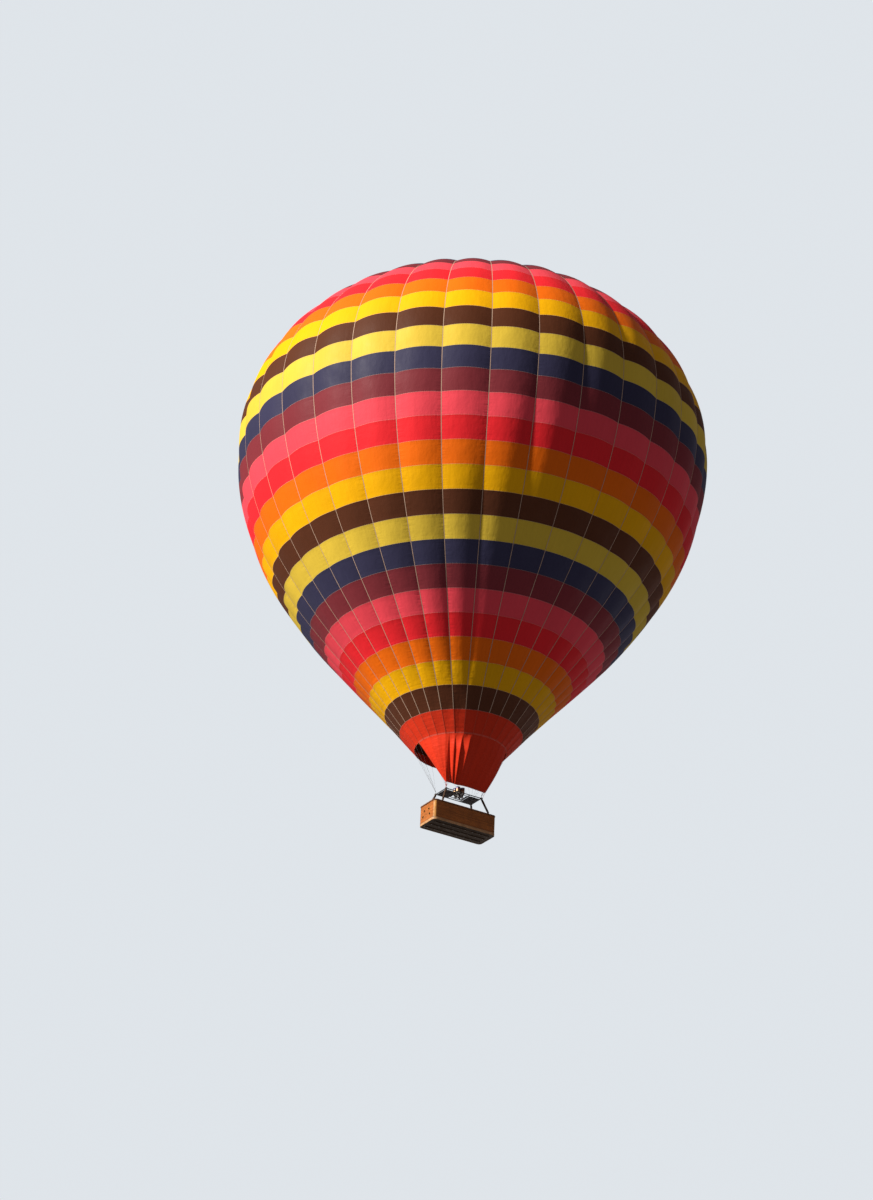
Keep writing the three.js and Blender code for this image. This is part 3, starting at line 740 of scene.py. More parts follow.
# %% Scoop
BASKET_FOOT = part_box("runner_1")[0].z
HEM_HEIGHT = BASKET_FOOT + 2.41
HEM_HALF = (1.255, 0.702)  # of the rectangle that the hem runs round
HEM_BOW = 0.05  # how far the hem rises between its two corners
SCOOP_FIRST = 15  # the tape where the scoop starts
SCOOP_GORES = 13
HEM_COLUMNS = (4.0, 4.38, 4.46, 5.08, 5.92, 6.83, 12.5)  # gores counted from the scoop's left edge,
HEM_SHARES = (0.0, 0.02, 0.10, 0.14, 0.19, 0.26, 1.0)  # and where they meet the hem's near side
CORNER_TURN = 0.012  # space between the tapes that lie round a corner
SCOOP_ACROSS = 24
SCOOP_ROWS = 44
SCOOP_LAP = 0.05  # panels of the mouth band that the scoop is sewn over
SCOOP_LIFTS = (0.001, 0.006, 0.007)  # off the mouth's edge, off its own middle face, and at the lap
SCOOP_BELLY = 0.09
BELLY_EDGE = 1.5  # gores over which the belly dies out towards the left edge
SCOOP_NUMBER = -3  # counts like a panel's, so that the scoop gets its own tone and creases
FOLD_COLUMNS = (0, 0.9, 1.6, 2.3, 3.0, 3.8, 4.38, 4.46, 5.08, 5.21, 5.92, 6.04, 6.83, 6.96, 8.0, 9.4,
                10.8, 11.9, 13)  # gores from the left edge
FOLD_PUSHES = (0, 12, -4, 14, 0, 0, 0, -20, 170, 90, 265, 160, 310, 190, 60, 25, 18, 0, 0)  # mm out


def hem_point(column):
    """A point on the scoop's hem. Columns are counted in gores from its first edge."""
    half_x, half_y = HEM_HALF
    column = np.asarray(column, float)
    before = np.minimum(column - HEM_COLUMNS[0], 0)
    beyond = np.maximum(column - HEM_COLUMNS[-1], 0)
    share = np.interp(column, HEM_COLUMNS, HEM_SHARES)
    x = half_x * (2 * share - 1)
    y = -half_y + CORNER_TURN * (beyond - before)
    return np.stack([x, y, HEM_HEIGHT + HEM_BOW * np.sin(math.pi * share) ** 2], -1)


def grid_normals(grid):
    normals = np.cross(np.gradient(grid, axis=1), np.gradient(grid, axis=0))
    return normals / np.maximum(np.linalg.norm(normals, axis=-1), 1e-9)[..., None]


def scoop_grid():
    column = np.arange(SCOOP_GORES * SCOOP_ACROSS + 1) / SCOOP_ACROSS
    gore = np.minimum(np.floor(column), SCOOP_GORES - 1)
    across = 2 * (column - gore) - 1
    up = np.linspace(0, 1, SCOOP_ROWS)[:, None, None]
    at_mouth, off_face, at_lap = SCOOP_LIFTS
    mouth = gore_point(FIRST_PLACE, SCOOP_FIRST + 1 + gore, across, at_mouth)
    angle = (SCOOP_FIRST + 0.5 + column) * GORE
    outward = np.stack([np.cos(angle), np.sin(angle), 0 * angle], -1)
    belly = SCOOP_BELLY * np.sin(math.pi * up) * np.minimum(1, column / BELLY_EDGE)[:, None]
    grid = hem_point(column) * (1 - up) + mouth * up + outward * belly
    push = np.interp(column, FOLD_COLUMNS, FOLD_PUSHES) / 1000
    folds = push * smooth_step((1 - up[..., 0]) * 3) * (0.6 + 0.4 * smooth_step(up[..., 0] * 3))
    grid = grid + grid_normals(grid) * (folds + off_face)[..., None]
    lap = gore_point(FIRST_PLACE + SCOOP_LAP, SCOOP_FIRST + 1 + gore, across, at_lap)
    return np.concatenate([grid, lap[None]])


def scoop_cloth():
    grid = scoop_grid()
    rows, columns = grid.shape[:2]
    faces = grid_faces(rows, columns)
    made = piece("scoop_cloth", grid, faces, CLOTH["scarlet"], slot="fabric_scarlet", replaces=["scoop"])
    length = float(np.linalg.norm(np.diff(grid, axis=0), axis=-1).sum(0).mean())
    spread = np.linalg.norm(np.diff(grid, axis=1), axis=-1).sum(1)
    ups = np.minimum(np.arange(rows) / (SCOOP_ROWS - 1), 1)
    cloth_layers(made, columns, SCOOP_ACROSS, ups, spread / SCOOP_GORES, length, SCOOP_NUMBER, ring=False)
    return thickened(made, CLOTH_THICKNESS)


scoop_cloth()

# %% [markdown]
# ## Hems and ties
# Narrow webbing is sewn along the scoop's hem and its two free edges and round the mouth's edge.
# Short straps tie the hem's two corners down to the load frame. A strip function lays all of them
# on the cloth, because they are one kind of piece.

# %% Hems and ties
FRAME_HEIGHT = (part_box("load_frame")[0].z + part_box("load_frame")[1].z) / 2
HEM_WEBBING = 0.025  # widths of the webbing on the hem, of a tie or loop, and of a tie's buckle
STRAP = 0.03
BUCKLE = 0.038
TIE_OUT = 0.048  # from the middle of a corner block to a tie's foot
TIE_STEPS = 9
MOUTH_ROLL = 0.007  # radius of the roll round the mouth's edge
LOOP_PLACES = (0.09, 0.06, 0.03, 0.0)  # panels that a wire's loop reaches up the tape
LOOP_OUT = 0.012
BLOCK_HALF = 0.06
BLOCK_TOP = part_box("load_frame")[1].z
FRAME_HALF = tuple(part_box("load_frame")[1][axis] - BLOCK_HALF for axis in (0, 1))
CORNERS = {"near_left": (-1, -1), "near_right": (1, -1), "far_right": (1, 1), "far_left": (-1, 1)}


def strip_along(path, normals, width, lift, thickness=0.003):
    """Points and faces of a flat strap along a path, lying on a surface with these normals."""
    path, normals = np.asarray(path, float), np.asarray(normals, float)
    along = np.gradient(path, axis=0)
    side = np.cross(along, normals)
    side /= np.maximum(np.linalg.norm(side, axis=1), 1e-9)[:, None]
    profile = [(-0.5, 0.0), (-0.5, thickness), (0.5, thickness), (0.5, 0.0)]
    columns = [path + side * width * s + normals * (lift + t) for s, t in profile]
    points = np.stack(columns, 1)
    faces = [tuple(face) for face in grid_faces(len(path), 4, ring=True)]
    last = 4 * (len(path) - 1)
    return points, faces + [(3, 2, 1, 0), (last, last + 1, last + 2, last + 3)]


def scoop_webbing():
    pile = Pile()
    grid = scoop_grid()[:-1]
    normals = grid_normals(grid)
    edges = [(grid[1], normals[1]), (grid[:, 1], normals[:, 1]), (grid[:, -2], normals[:, -2])]
    for path, facing in edges:
        pile.add(*strip_along(path, facing, HEM_WEBBING, 0.002))
        pile.add(*strip_along(path, -facing, HEM_WEBBING, CLOTH_THICKNESS + 0.002))
    for x, y in list(CORNERS.values())[:2]:
        foot = np.array([x * (FRAME_HALF[0] + TIE_OUT), y * (FRAME_HALF[1] + TIE_OUT), BLOCK_TOP + 0.001])
        head = np.array([x * (HEM_HALF[0] + 0.004), y * (HEM_HALF[1] + 0.004), HEM_HEIGHT + 0.03])
        line = foot + (head - foot) * np.linspace(0, 1, TIE_STEPS)[:, None]
        facing = np.tile(np.array([x, y, 0.0]) / math.sqrt(2), (TIE_STEPS, 1))
        pile.add(*strip_along(line, facing, STRAP, 0.0))
        pile.add(*strip_along(line[2:5], facing[2:5], BUCKLE, 0.0035, 0.004))
    return pile.piece("scoop_ties", RED_WEBBING, slot="webbing")


def mouth_hem():
    """A roll of webbing round the mouth's edge, with a sewn loop for each flying wire."""
    pile = Pile()
    column = np.arange(GORES * 4)
    gore, across = column // 4, (column % 4) / 2 - 1
    pile.add(*tube(gore_point(FIRST_PLACE, gore, across, -0.002), MOUTH_ROLL, 8, closed=True))
    places = FIRST_PLACE + np.array(LOOP_PLACES)
    turn_back = np.array([FIRST_PLACE - 0.009])
    for number in range(GORES):
        outer = on_tape(places, number, 0.0, LOOP_OUT)
        inner = on_tape(places[::-1], number, 0.0, -LOOP_OUT)
        path = np.concatenate([outer, on_tape(turn_back, number, 0.0, -0.002), inner])
        angle = (number + 0.5) * GORE
        along = np.gradient(path, axis=0)
        facing = np.cross(along, (-math.sin(angle), math.cos(angle), 0.0))
        facing /= np.linalg.norm(facing, axis=1)[:, None]
        pile.add(*strip_along(path, facing, STRAP, 0.0))
    return pile.piece("mouth_hem", RED_WEBBING, slot="webbing")


def plain_uv(made):
    """A cloth layer for small straps, from each point's place."""
    corners = np.zeros(len(made.data.loops), np.int32)
    made.data.loops.foreach_get("vertex_index", corners)
    places = np.array([vertex.co for vertex in made.data.vertices])[corners]
    add_uv(made, "cloth", np.stack([places[:, 0] + places[:, 1], places[:, 2]], -1))


for straps in (scoop_webbing(), mouth_hem()):
    plain_uv(straps)

# %% [markdown]
# ## Metal finishes
# Three metals are enough: satin tube for the frame, duller wire, and burner steel that the flame
# has tinted straw and blue near its rim. Scratches are a stretched noise in the roughness, and the
# tint follows the height, because heat does.

# %% Metal finishes


def metal(name, tint, rough, grain=(60, 60, 4), dirt=0.25):
    look = Finish(name, Metallic=0.9)
    scratches = look.noise(look.stretched(look.place, *grain), 1.0, 4, 0.6)
    stains = look.patches(look.place, 2.5, 5, 1.0, 1 - dirt, 0.6, 0.35)
    roughness = look.between(scratches, 0.3, 0.7, rough - 0.08, rough + 0.12)
    return look.dress(look.tinted(tint, stains), roughness, (scratches, 0.0004))


def painted(name, tint):
    """Dark powder coating, rubbed thin on its edges."""
    look = Finish(name, Specular_IOR_Level=0.2)
    uneven = look.times(look.noise(look.place, 9, 4), 0.08)
    rub = look.calc("ADD", look.node("NewGeometry")["Pointiness"], uneven)
    worn = look.mixed(look.between(rub, 0.56, 0.62, 0.0, 0.3), tint, colour(0.32, 0.31, 0.30))
    orange_peel = look.noise(look.place, 180.0, 2)
    return look.dress(worn, look.patches(look.place, 4.0, 4, 0.58, 0.8), (orange_peel, 0.0003))


STEEL = metal("satin_steel", colour(0.42, 0.42, 0.43), 0.38)
WIRE = metal("stranded_wire", colour(0.16, 0.16, 0.17), 0.62, (300, 300, 300))
DARK_TUBE = painted("dark_coated_tube", colour(0.030, 0.030, 0.033))
HEAT_TINTS = (  # colours up the burner's can, each with its share of the height
    (0.0, colour(0.24, 0.23, 0.22)),
    (0.35, colour(0.30, 0.21, 0.11)),
    (0.6, colour(0.19, 0.10, 0.08)),
    (0.8, colour(0.07, 0.08, 0.15)),
    (1.0, colour(0.06, 0.05, 0.05)),
)
HEAT_REACH = (0.2, 0.58)  # heights over the frame between which the colours run


def burner_finish():
    look = Finish("burner_steel", Metallic=0.95)
    wander = look.times(look.noise(look.place, 7.0, 4), 0.16)
    height = look.calc("ADD", look.split(look.place)[2], wander)
    low, high = (FRAME_HEIGHT + reach for reach in HEAT_REACH)
    ramp = look.node("ValToRGB", {"Fac": look.between(height, low, high)})
    stops = ramp[0].node.color_ramp.elements
    stops[0].color, stops[1].color = HEAT_TINTS[0][1], HEAT_TINTS[-1][1]
    for position, tint in HEAT_TINTS[1:-1]:
        stops.new(position).color = tint
    brushed = look.noise(look.stretched(look.place, 8, 8, 250), 1.0, 3)
    return look.dress(ramp[0], look.between(brushed, 0.3, 0.7, 0.36, 0.56), (brushed, 0.0003))


BURNER_STEEL = burner_finish()

# %% [markdown]
# ## Flying wires
# Eight stainless wires fan out from a shackle on each corner of the load frame to the tapes at the
# mouth. A wire is a thin tube with a swaged sleeve and a thimble eye at each end, and the shackle is
# a bent rod with a pin. They are straight because the envelope pulls on them all the time.

# %% Flying wires
SHACKLE_TOP = BLOCK_TOP + 0.0003 + 0.078
WIRE_RADIUS = 0.004
SLEEVE = 0.08
SLEEVE_RADII = (0.004, 0.0065, 0.0065, 0.004)
SHACKLE_ROD = 0.0045
SHACKLE_PIN = 0.005
THIMBLE = 0.011
THIMBLE_ROD = 0.003
EYE_REACH = 0.012  # from the middle of an eye to the wire's end


def shackle(pile, x, y):
    foot = np.array([x, y, BLOCK_TOP])
    bow = [(-0.010, 0, 0.002)]
    bow += [(-0.010 * math.cos(t), 0, 0.055 + 0.022 * math.sin(t)) for t in np.linspace(0, math.pi, 15)]
    bow += [(0.010, 0, 0.002)]
    pile.add(*tube(foot + np.array(bow), SHACKLE_ROD, 10))
    pile.add(*tube(foot + np.array([(-0.013, 0, 0.014), (0.013, 0, 0.014)]), SHACKLE_PIN, 10))


def wire_eye(centre, toward, radius):
    """A closed loop at a wire's end, in the plane of the wire and the vertical."""
    across = np.cross(toward, (0.3, 0.2, 1.0))
    across /= np.linalg.norm(across)
    turn = circle(12)
    return centre + radius * (np.outer(np.cos(turn), toward) + np.outer(np.sin(turn), across))


def flying_wires(name, x, y):
    pile = Pile()
    foot = np.array([x * FRAME_HALF[0], y * FRAME_HALF[1], SHACKLE_TOP])
    shackle(pile, foot[0], foot[1])
    first = 8 * round(math.atan2(y, x) * 2 / math.pi - 0.5)
    for number in range(first, first + 8):
        tip = on_tape(np.array([float(FIRST_PLACE)]), number, 0.0, -0.005)[0]
        toward = (tip - foot) / np.linalg.norm(tip - foot)
        start, tip = foot + toward * EYE_REACH, tip - toward * 2 * EYE_REACH
        pile.add(*tube([start + toward * EYE_REACH, tip - toward * EYE_REACH], WIRE_RADIUS * 0.8, 8))
        for end, sign in ((start, 1), (tip, -1)):
            pile.add(*tube(wire_eye(end, toward, THIMBLE), THIMBLE_ROD, 6, closed=True))
            sleeve = [end + toward * sign * (EYE_REACH + SLEEVE * part) for part in (0, 0.08, 0.92, 1.0)]
            pile.add(*tube(sleeve, SLEEVE_RADII, 8))
    return pile.piece("rigging_" + name, WIRE, slot="wire", replaces=["flying_wires_" + name])


for name, (x, y) in CORNERS.items():
    flying_wires(name, x, y)

# %% [markdown]
# ## Blocks and sections
# The small fittings are plates, blocks and turned parts. A block is the hull of its cut-back
# corners, because no machined edge is sharp, and a turned part is a profile of radii and heights
# that is swept round an axis. Both give points and faces, so they go into a pile like the tubes.

# %% Blocks and sections


def block(centre, half, bevel=0.004):
    """A box with its edges cut back."""
    made = bmesh.new()
    for signs in product((-1, 1), repeat=3):
        for axis in range(3):
            reach = [size - bevel for size in half]
            reach[axis] = half[axis]
            made.verts.new([middle + sign * size for middle, sign, size in zip(centre, signs, reach)])
    bmesh.ops.convex_hull(made, input=made.verts)
    made.verts.index_update()
    points = [tuple(corner.co) for corner in made.verts]
    faces = [tuple(corner.index for corner in face.verts) for face in made.faces]
    made.free()
    return points, faces


def turned(profile, centre, sides=24):
    """A profile of radii and heights swept round a vertical axis."""
    turn = circle(sides)
    radius, height = np.array(profile, float).T
    x = centre[0] + np.outer(radius, np.cos(turn))
    y = centre[1] + np.outer(radius, np.sin(turn))
    z = centre[2] + np.outer(height, np.ones(sides))
    return np.stack([x, y, z], -1), grid_faces(len(profile), sides, ring=True)


def disc(radius, height):
    """The profile of a flat round plate."""
    return [(0.0, 0.0), (radius, 0.0), (radius, height), (0.0, height)]


def bolt(pile, centre, finish=0, size=0.007):
    """A bolt head with its washer, on a level face."""
    pile.add(*turned(disc(size * 1.5, size * 0.25), centre, 12), finish)
    head = [(size, 0.0), (size, size), (size * 0.8, size * 1.15), (0.0, size * 1.15)]
    pile.add(*turned(head, centre, 6), finish)


# %% [markdown]
# ## Load frame and heat shields
# The frame is welded from dark coated tube: a rectangle with two cross tubes that leave a square bay
# for the burners. At each corner a machined block takes the shackle above and the upright below.
# Black heatproof cloth is laced into both end bays, to keep the flames' heat off the basket. A
# flat box would do for it, but laced cloth is pulled to points, so its edge is drawn as it hangs.

# %% Load frame
BAY = 0.40  # from the middle to each cross tube
TUBE_RADIUS = 0.024
BOSS_LENGTH = 0.008
BOSS_RADIUS = 0.022
BLOCK_THICK = 0.030  # half of a corner block's height
BOLT_AT = 0.040  # of a corner block's bolts, from its middle
SHIELD_HALF = ((FRAME_HALF[0] - BAY) / 2, 0.44)
SHIELD_LACES = (9, 11)  # along its X and Y edges
SHIELD_INSET = 0.030  # from the cross tubes' middles to the cloth's edge
SHIELD_DRAW = 0.018  # how far the edge draws in between two laces
LACE_RADIUS = 0.0025


def load_frame():
    pile = Pile()
    half_x, half_y = FRAME_HALF
    level = FRAME_HEIGHT
    spans = [((-half_x, y), (half_x, y)) for y in (-half_y, half_y)]
    spans += [((x, -half_y), (x, half_y)) for x in (-half_x, -BAY, BAY, half_x)]
    for start, end in spans:
        line = np.linspace((*start, level), (*end, level), 9)
        pile.add(*tube(line, TUBE_RADIUS, 20))
    for x, y in product((-BAY, BAY), (-half_y, half_y)):
        toward = np.array([0, -math.copysign(1, y), 0])
        bead = [np.array([x, y, level]) + toward * reach for reach in (0.022, 0.026, 0.032, 0.036)]
        pile.add(*tube(bead, [0.0275, 0.030, 0.028, 0.0245], 20))
    for side in (-1, 1):
        base = BAY - TUBE_RADIUS
        boss = [(side * reach, 0, level) for reach in (base + 0.012, base, base - BOSS_LENGTH)]
        pile.add(*tube(boss, BOSS_RADIUS, 20))
    for x, y in CORNERS.values():
        centre = np.array([x * half_x, y * half_y, level])
        pile.add(*block(centre, (BLOCK_HALF, BLOCK_HALF, BLOCK_THICK), 0.008))
        for along_x, along_y in ((-1, 1), (1, -1), (1, 1), (-1, -1)):
            bolt(pile, centre + np.array([along_x * BOLT_AT, along_y * BOLT_AT, BLOCK_THICK - 0.001]), 1)
        socket = [(0.0, -0.030), (0.034, -0.030), (0.034, -0.0305), (0.0, -0.0305)]
        pile.add(*turned(socket, centre), 1)
        for side in (-1, 1):
            pile.add(*block(centre + np.array([side * 0.016, 0, 0.036]), (0.003, 0.014, 0.012), 0.002), 1)
    return pile.piece("frame_tubes", [DARK_TUBE, STEEL], slot="steel_tube", replaces=["load_frame"])


def shield_cloth_finish():
    look = Finish("heatproof_cloth", Specular_IOR_Level=0.2, Sheen_Weight=0.25)
    weave = look.threads(look.place, 0.006, 0.003, 0.0006, 0.6, 0.5)
    scorch = look.patches(look.place, 3.0, 5, 0.8, 1.5, 0.6, 0.35)
    base = look.tinted(colour(0.016, 0.016, 0.018), scorch)
    creases = look.noise(look.place, 6.0, 3)
    return look.dress(base, look.between(weave, 0, 1, 0.75, 0.95), (creases, 0.02), (weave, 0.0005))


def cord_finish():
    look = Finish("black_cord", Specular_IOR_Level=0.3)
    plait = look.node("TexWave", {"Vector": look.place, "Scale": 60.0, "Distortion": 2.0})[1]
    base = look.tinted(colour(0.03, 0.03, 0.034), look.between(plait, 0, 1, 0.7, 1.2))
    return look.dress(base, look.between(plait, 0, 1, 0.6, 0.85), (plait, 0.0008))


SHIELD_CLOTH = shield_cloth_finish()
BLACK_CORD = cord_finish()


def lace_loop(start, axis, sign, reach):
    """A cord from a point of the cloth's edge, once round the frame's tube and back."""
    hub = start.copy()
    hub[axis] += sign * reach
    hub[2] = FRAME_HEIGHT
    away = start - hub
    turn = math.atan2(away[2], away[axis]) + np.linspace(-0.5, 2 * math.pi - 0.9, 15)
    loop = np.repeat(hub[None], len(turn), 0)
    loop[:, axis] += (TUBE_RADIUS + LACE_RADIUS) * np.cos(turn)
    loop[:, 2] += (TUBE_RADIUS + LACE_RADIUS) * np.sin(turn)
    loop[:, 1 - axis] += np.linspace(-0.012, 0.012, len(turn))
    return np.concatenate([start[None], loop, start[None]])


def heat_shield(name, side):
    half_x, half_y = SHIELD_HALF
    laces_x, laces_y = SHIELD_LACES
    middle = side * (FRAME_HALF[0] + BAY) / 2
    columns, rows = 8 * laces_x + 1, 4 * laces_y + 1
    across, along = np.linspace(-1, 1, columns)[None, :], np.linspace(-1, 1, rows)[:, None]
    draw_x, draw_y = (SHIELD_DRAW * np.abs(np.sin(math.pi * (share + 1) / 2 * laces))
                      for share, laces in ((along, laces_y), (across, laces_x)))
    x = middle + across * (half_x - SHIELD_INSET - draw_x * np.abs(across) ** 6)
    y = along * (half_y - draw_y * np.abs(along) ** 6)
    sag = 0.012 * (1 - across**2) * (1 - along**2) + 0.003 * np.sin(5 * across + 2) * np.cos(4 * along)
    points = np.stack([x, y, FRAME_HEIGHT - TUBE_RADIUS - 0.003 - sag], -1)
    cloth = piece("heat_cloth_" + name, points, grid_faces(rows, columns), SHIELD_CLOTH, slot="black_cloth",
                  replaces=["heat_shield_" + name])
    thickened(cloth, 0.003).modifiers["thickness"].offset = 0
    pile = Pile()
    ring = np.concatenate([points[0], points[1:, -1], points[-1, -2::-1], points[-2:0:-1, 0]])
    pile.add(*tube(above(ring, 0.001), 0.006, 8, closed=True))
    for (axis, laces), sign in product(((0, laces_y), (1, laces_x)), (-1, 1)):
        edge = points.take(0 if sign < 0 else -1, axis=1 - axis)
        reach = SHIELD_INSET if axis == 0 else FRAME_HALF[1] - half_y
        for lace in range(1, laces):
            start = edge[round(lace * (len(edge) - 1) / laces)]
            pile.add(*tube(lace_loop(start, axis, sign, reach), LACE_RADIUS, 6))
    pile.piece("heat_cloth_lacing_" + name, BLACK_CORD, slot="black_cloth")


load_frame()
for name, side in (("left", -1), ("right", 1)):
    heat_shield(name, side)

# %% [markdown]
# ## Gimbal and burners
# The outer gimbal ring rocks on two pins between the cross tubes, and the burner plate rocks in the
# ring on two pins at a right angle, so the flames can be aimed. Each burner is a can round a
# coil of tube in which the fuel turns to gas, over a ring of jets, with a valve block and its lever
# below. The coils could be left out, but they are what one sees when looking up into a burner.

# %% Gimbal and burners
RING_HALF = (0.34, 0.32)
RING_TUBE_RADIUS = 0.016
PIN_RADIUS = 0.014
PIN_GAP = 0.0005
BURNER_SPACING = 0.14
PLATE_HALF = 0.19
PLATE_THICK = 0.012  # half of the plate's thickness
PLATE_RIM = 0.010  # half width of the bars round the plate
PLATE_BOLTS = (0.172, 0.05)  # from the plate's middle, along one side and the other
MANIFOLD_DROP = 0.125
MANIFOLD_PIPE = 0.009
CAN_RADIUS = 0.122
CAN_FOOT = 0.045
CAN_TOP = 0.470
CAN_CURVE = 0.08  # height of the can's narrower foot
BEADS = 3  # pressed rings round the can
BEAD_SPREAD = 0.345
BEAD_HEIGHT = 0.03
BEAD_OUT = 0.003
COIL_TURNS = 6
COIL_STEPS = 18  # for each turn
COIL_RADIUS = 0.098
COIL_FLARE = 0.008  # how much narrower the coil is at its foot, and wider at its top
COIL_PIPE = 0.0075
JET_POINTS = 20  # round the ring of jets, with a nozzle on every second one
JET_RING = 0.052
JET_HEIGHT = 0.055  # over the can's foot
JET_PIPE = 0.008
VALVE_LEVEL = -0.072  # of the blast valve, from the frame's level


def rounded_loop(half_x, half_y, radius, height, steps=6):
    """A level rectangle with round corners, as a ring of points counter-clockwise from +X."""
    turn = np.arange(4 * (steps + 1))
    quarter, angle = turn // (steps + 1), (turn // (steps + 1) + (turn % (steps + 1)) / steps) * math.pi / 2
    sign_x = np.where((quarter == 0) | (quarter == 3), 1, -1)
    sign_y = np.where(quarter < 2, 1, -1)
    x = sign_x * (half_x - radius) + radius * np.cos(angle)
    y = sign_y * (half_y - radius) + radius * np.sin(angle)
    return np.stack([x, y, np.full(len(x), height)], -1)


def pin_line(side, axis, reaches):
    """Points on the frame's level, along X or Y from the middle of the frame."""
    return [above(np.eye(3)[axis] * side * reach, FRAME_HEIGHT) for reach in reaches]


def add_pin(pile, side, axis, start, tip):
    """A pivot pin with its end cut back."""
    line = pin_line(side, axis, (start, tip - 0.002, tip))
    pile.add(*tube(line, [PIN_RADIUS, PIN_RADIUS, PIN_RADIUS - 0.002], 20), 1)


def gimbal_ring():
    pile = Pile()
    pile.add(*tube(rounded_loop(*RING_HALF, 0.03, FRAME_HEIGHT), RING_TUBE_RADIUS, 16, closed=True))
    half_x, half_y = RING_HALF
    for side in (-1, 1):
        add_pin(pile, side, 0, half_x, BAY - TUBE_RADIUS - BOSS_LENGTH - PIN_GAP)
        pile.add(*tube(pin_line(side, 0, (half_x - 0.016, half_x + 0.019)), 0.021, 20), 1)
        boss_tip = half_y - RING_TUBE_RADIUS - BOSS_LENGTH
        pile.add(*tube(pin_line(side, 1, (half_y, boss_tip)), BOSS_RADIUS, 20), 1)
        for end in (-1, 1):
            corner = (side * (half_x - 0.008), end * (half_y - 0.008), FRAME_HEIGHT)
            pile.add(*block(corner, (0.019, 0.019, 0.016), 0.004), 1)
    return pile.piece("gimbal_ring", [DARK_TUBE, STEEL], body="cradle", slot="steel_tube",
                      replaces=["burner_cradle"])


def one_burner(pile, x, y):
    base = np.array([x, y, FRAME_HEIGHT])
    beads = [(CAN_RADIUS + BEAD_OUT * math.sin(math.pi * part) ** 2,
              CAN_FOOT + CAN_CURVE + BEAD_SPREAD * step / BEADS + BEAD_HEIGHT * part)
             for step in range(BEADS) for part in (0, 0.5, 1)]
    can = [(0.070, CAN_FOOT), (0.078, CAN_FOOT + 0.004), (CAN_RADIUS, CAN_FOOT + CAN_CURVE)] + beads
    rim = ((0, -0.008), (0.003, -0.004), (-0.001, 0), (-0.005, -0.004), (-0.003, -0.02))
    can += [(CAN_RADIUS + out, CAN_TOP + up) for out, up in rim]
    can += [(CAN_RADIUS - 0.003, CAN_FOOT + 0.085), (0.070, CAN_FOOT + 0.006), (0.0, CAN_FOOT + 0.006)]
    pile.add(*turned(can, base, 40), 0)
    turn = np.linspace(0, COIL_TURNS * 2 * math.pi, COIL_TURNS * COIL_STEPS)
    height = np.linspace(CAN_FOOT + 0.11, CAN_TOP - 0.045, len(turn))
    radius = COIL_RADIUS + COIL_FLARE * np.linspace(-1, 1, len(turn))
    coil = base + np.stack([radius * np.cos(turn), radius * np.sin(turn), height], -1)
    pile.add(*tube(coil, COIL_PIPE, 8), 0)
    turn = circle(JET_POINTS)
    plan = np.stack([JET_RING * np.cos(turn), JET_RING * np.sin(turn)], -1)
    jets = base + raised(plan, CAN_FOOT + JET_HEIGHT)
    pile.add(*tube(jets, JET_PIPE, 8, closed=True), 1)
    nozzle = [(0.0045, 0.0), (0.0045, 0.016), (0.002, 0.02), (0.0, 0.02)]
    for jet in jets[::2]:
        pile.add(*turned(nozzle, above(jet, 0.005), 8), 1)
    pilot_light = [(0.0, 0.006), (0.014, 0.006), (0.014, 0.085), (0.010, 0.092), (0.0, 0.092)]
    pile.add(*turned(pilot_light, above(base, CAN_FOOT), 14), 1)
    valve = [(0.0, -0.15), (0.020, -0.15), (0.024, -0.146), (0.024, -0.120), (0.040, -0.112), (0.046, -0.104),
             (0.046, -0.040), (0.038, -0.030), (0.038, 0.050), (0.0, 0.050)]
    pile.add(*turned(valve, base, 20), 1)
    pile.add(*block(above(base, VALVE_LEVEL), (0.050, 0.030, 0.026), 0.005), 1)
    outward = np.array([math.copysign(1, x), 0, 0])
    stem = [above(base, VALVE_LEVEL) + outward * reach for reach in (0.045, 0.075)]
    pile.add(*tube(stem, 0.008, 12), 1)
    bends = ((0, 0.02), (0.006, -0.02), (0.028, -0.062), (0.034, -0.110))
    lever = [stem[1] + outward * out + np.array([0, 0, up]) for out, up in bends]
    pile.add(*tube(lever, [0.0065, 0.0065, 0.008, 0.009], 12), 2)
    gauge = base + np.array([0, math.copysign(0.046, y), -0.055])
    dial = [gauge + np.array([0, math.copysign(reach, y), 0]) for reach in (0, 0.012, 0.030, 0.034)]
    pile.add(*tube(dial, [0.006, 0.020, 0.022, 0.019], 20), 1)


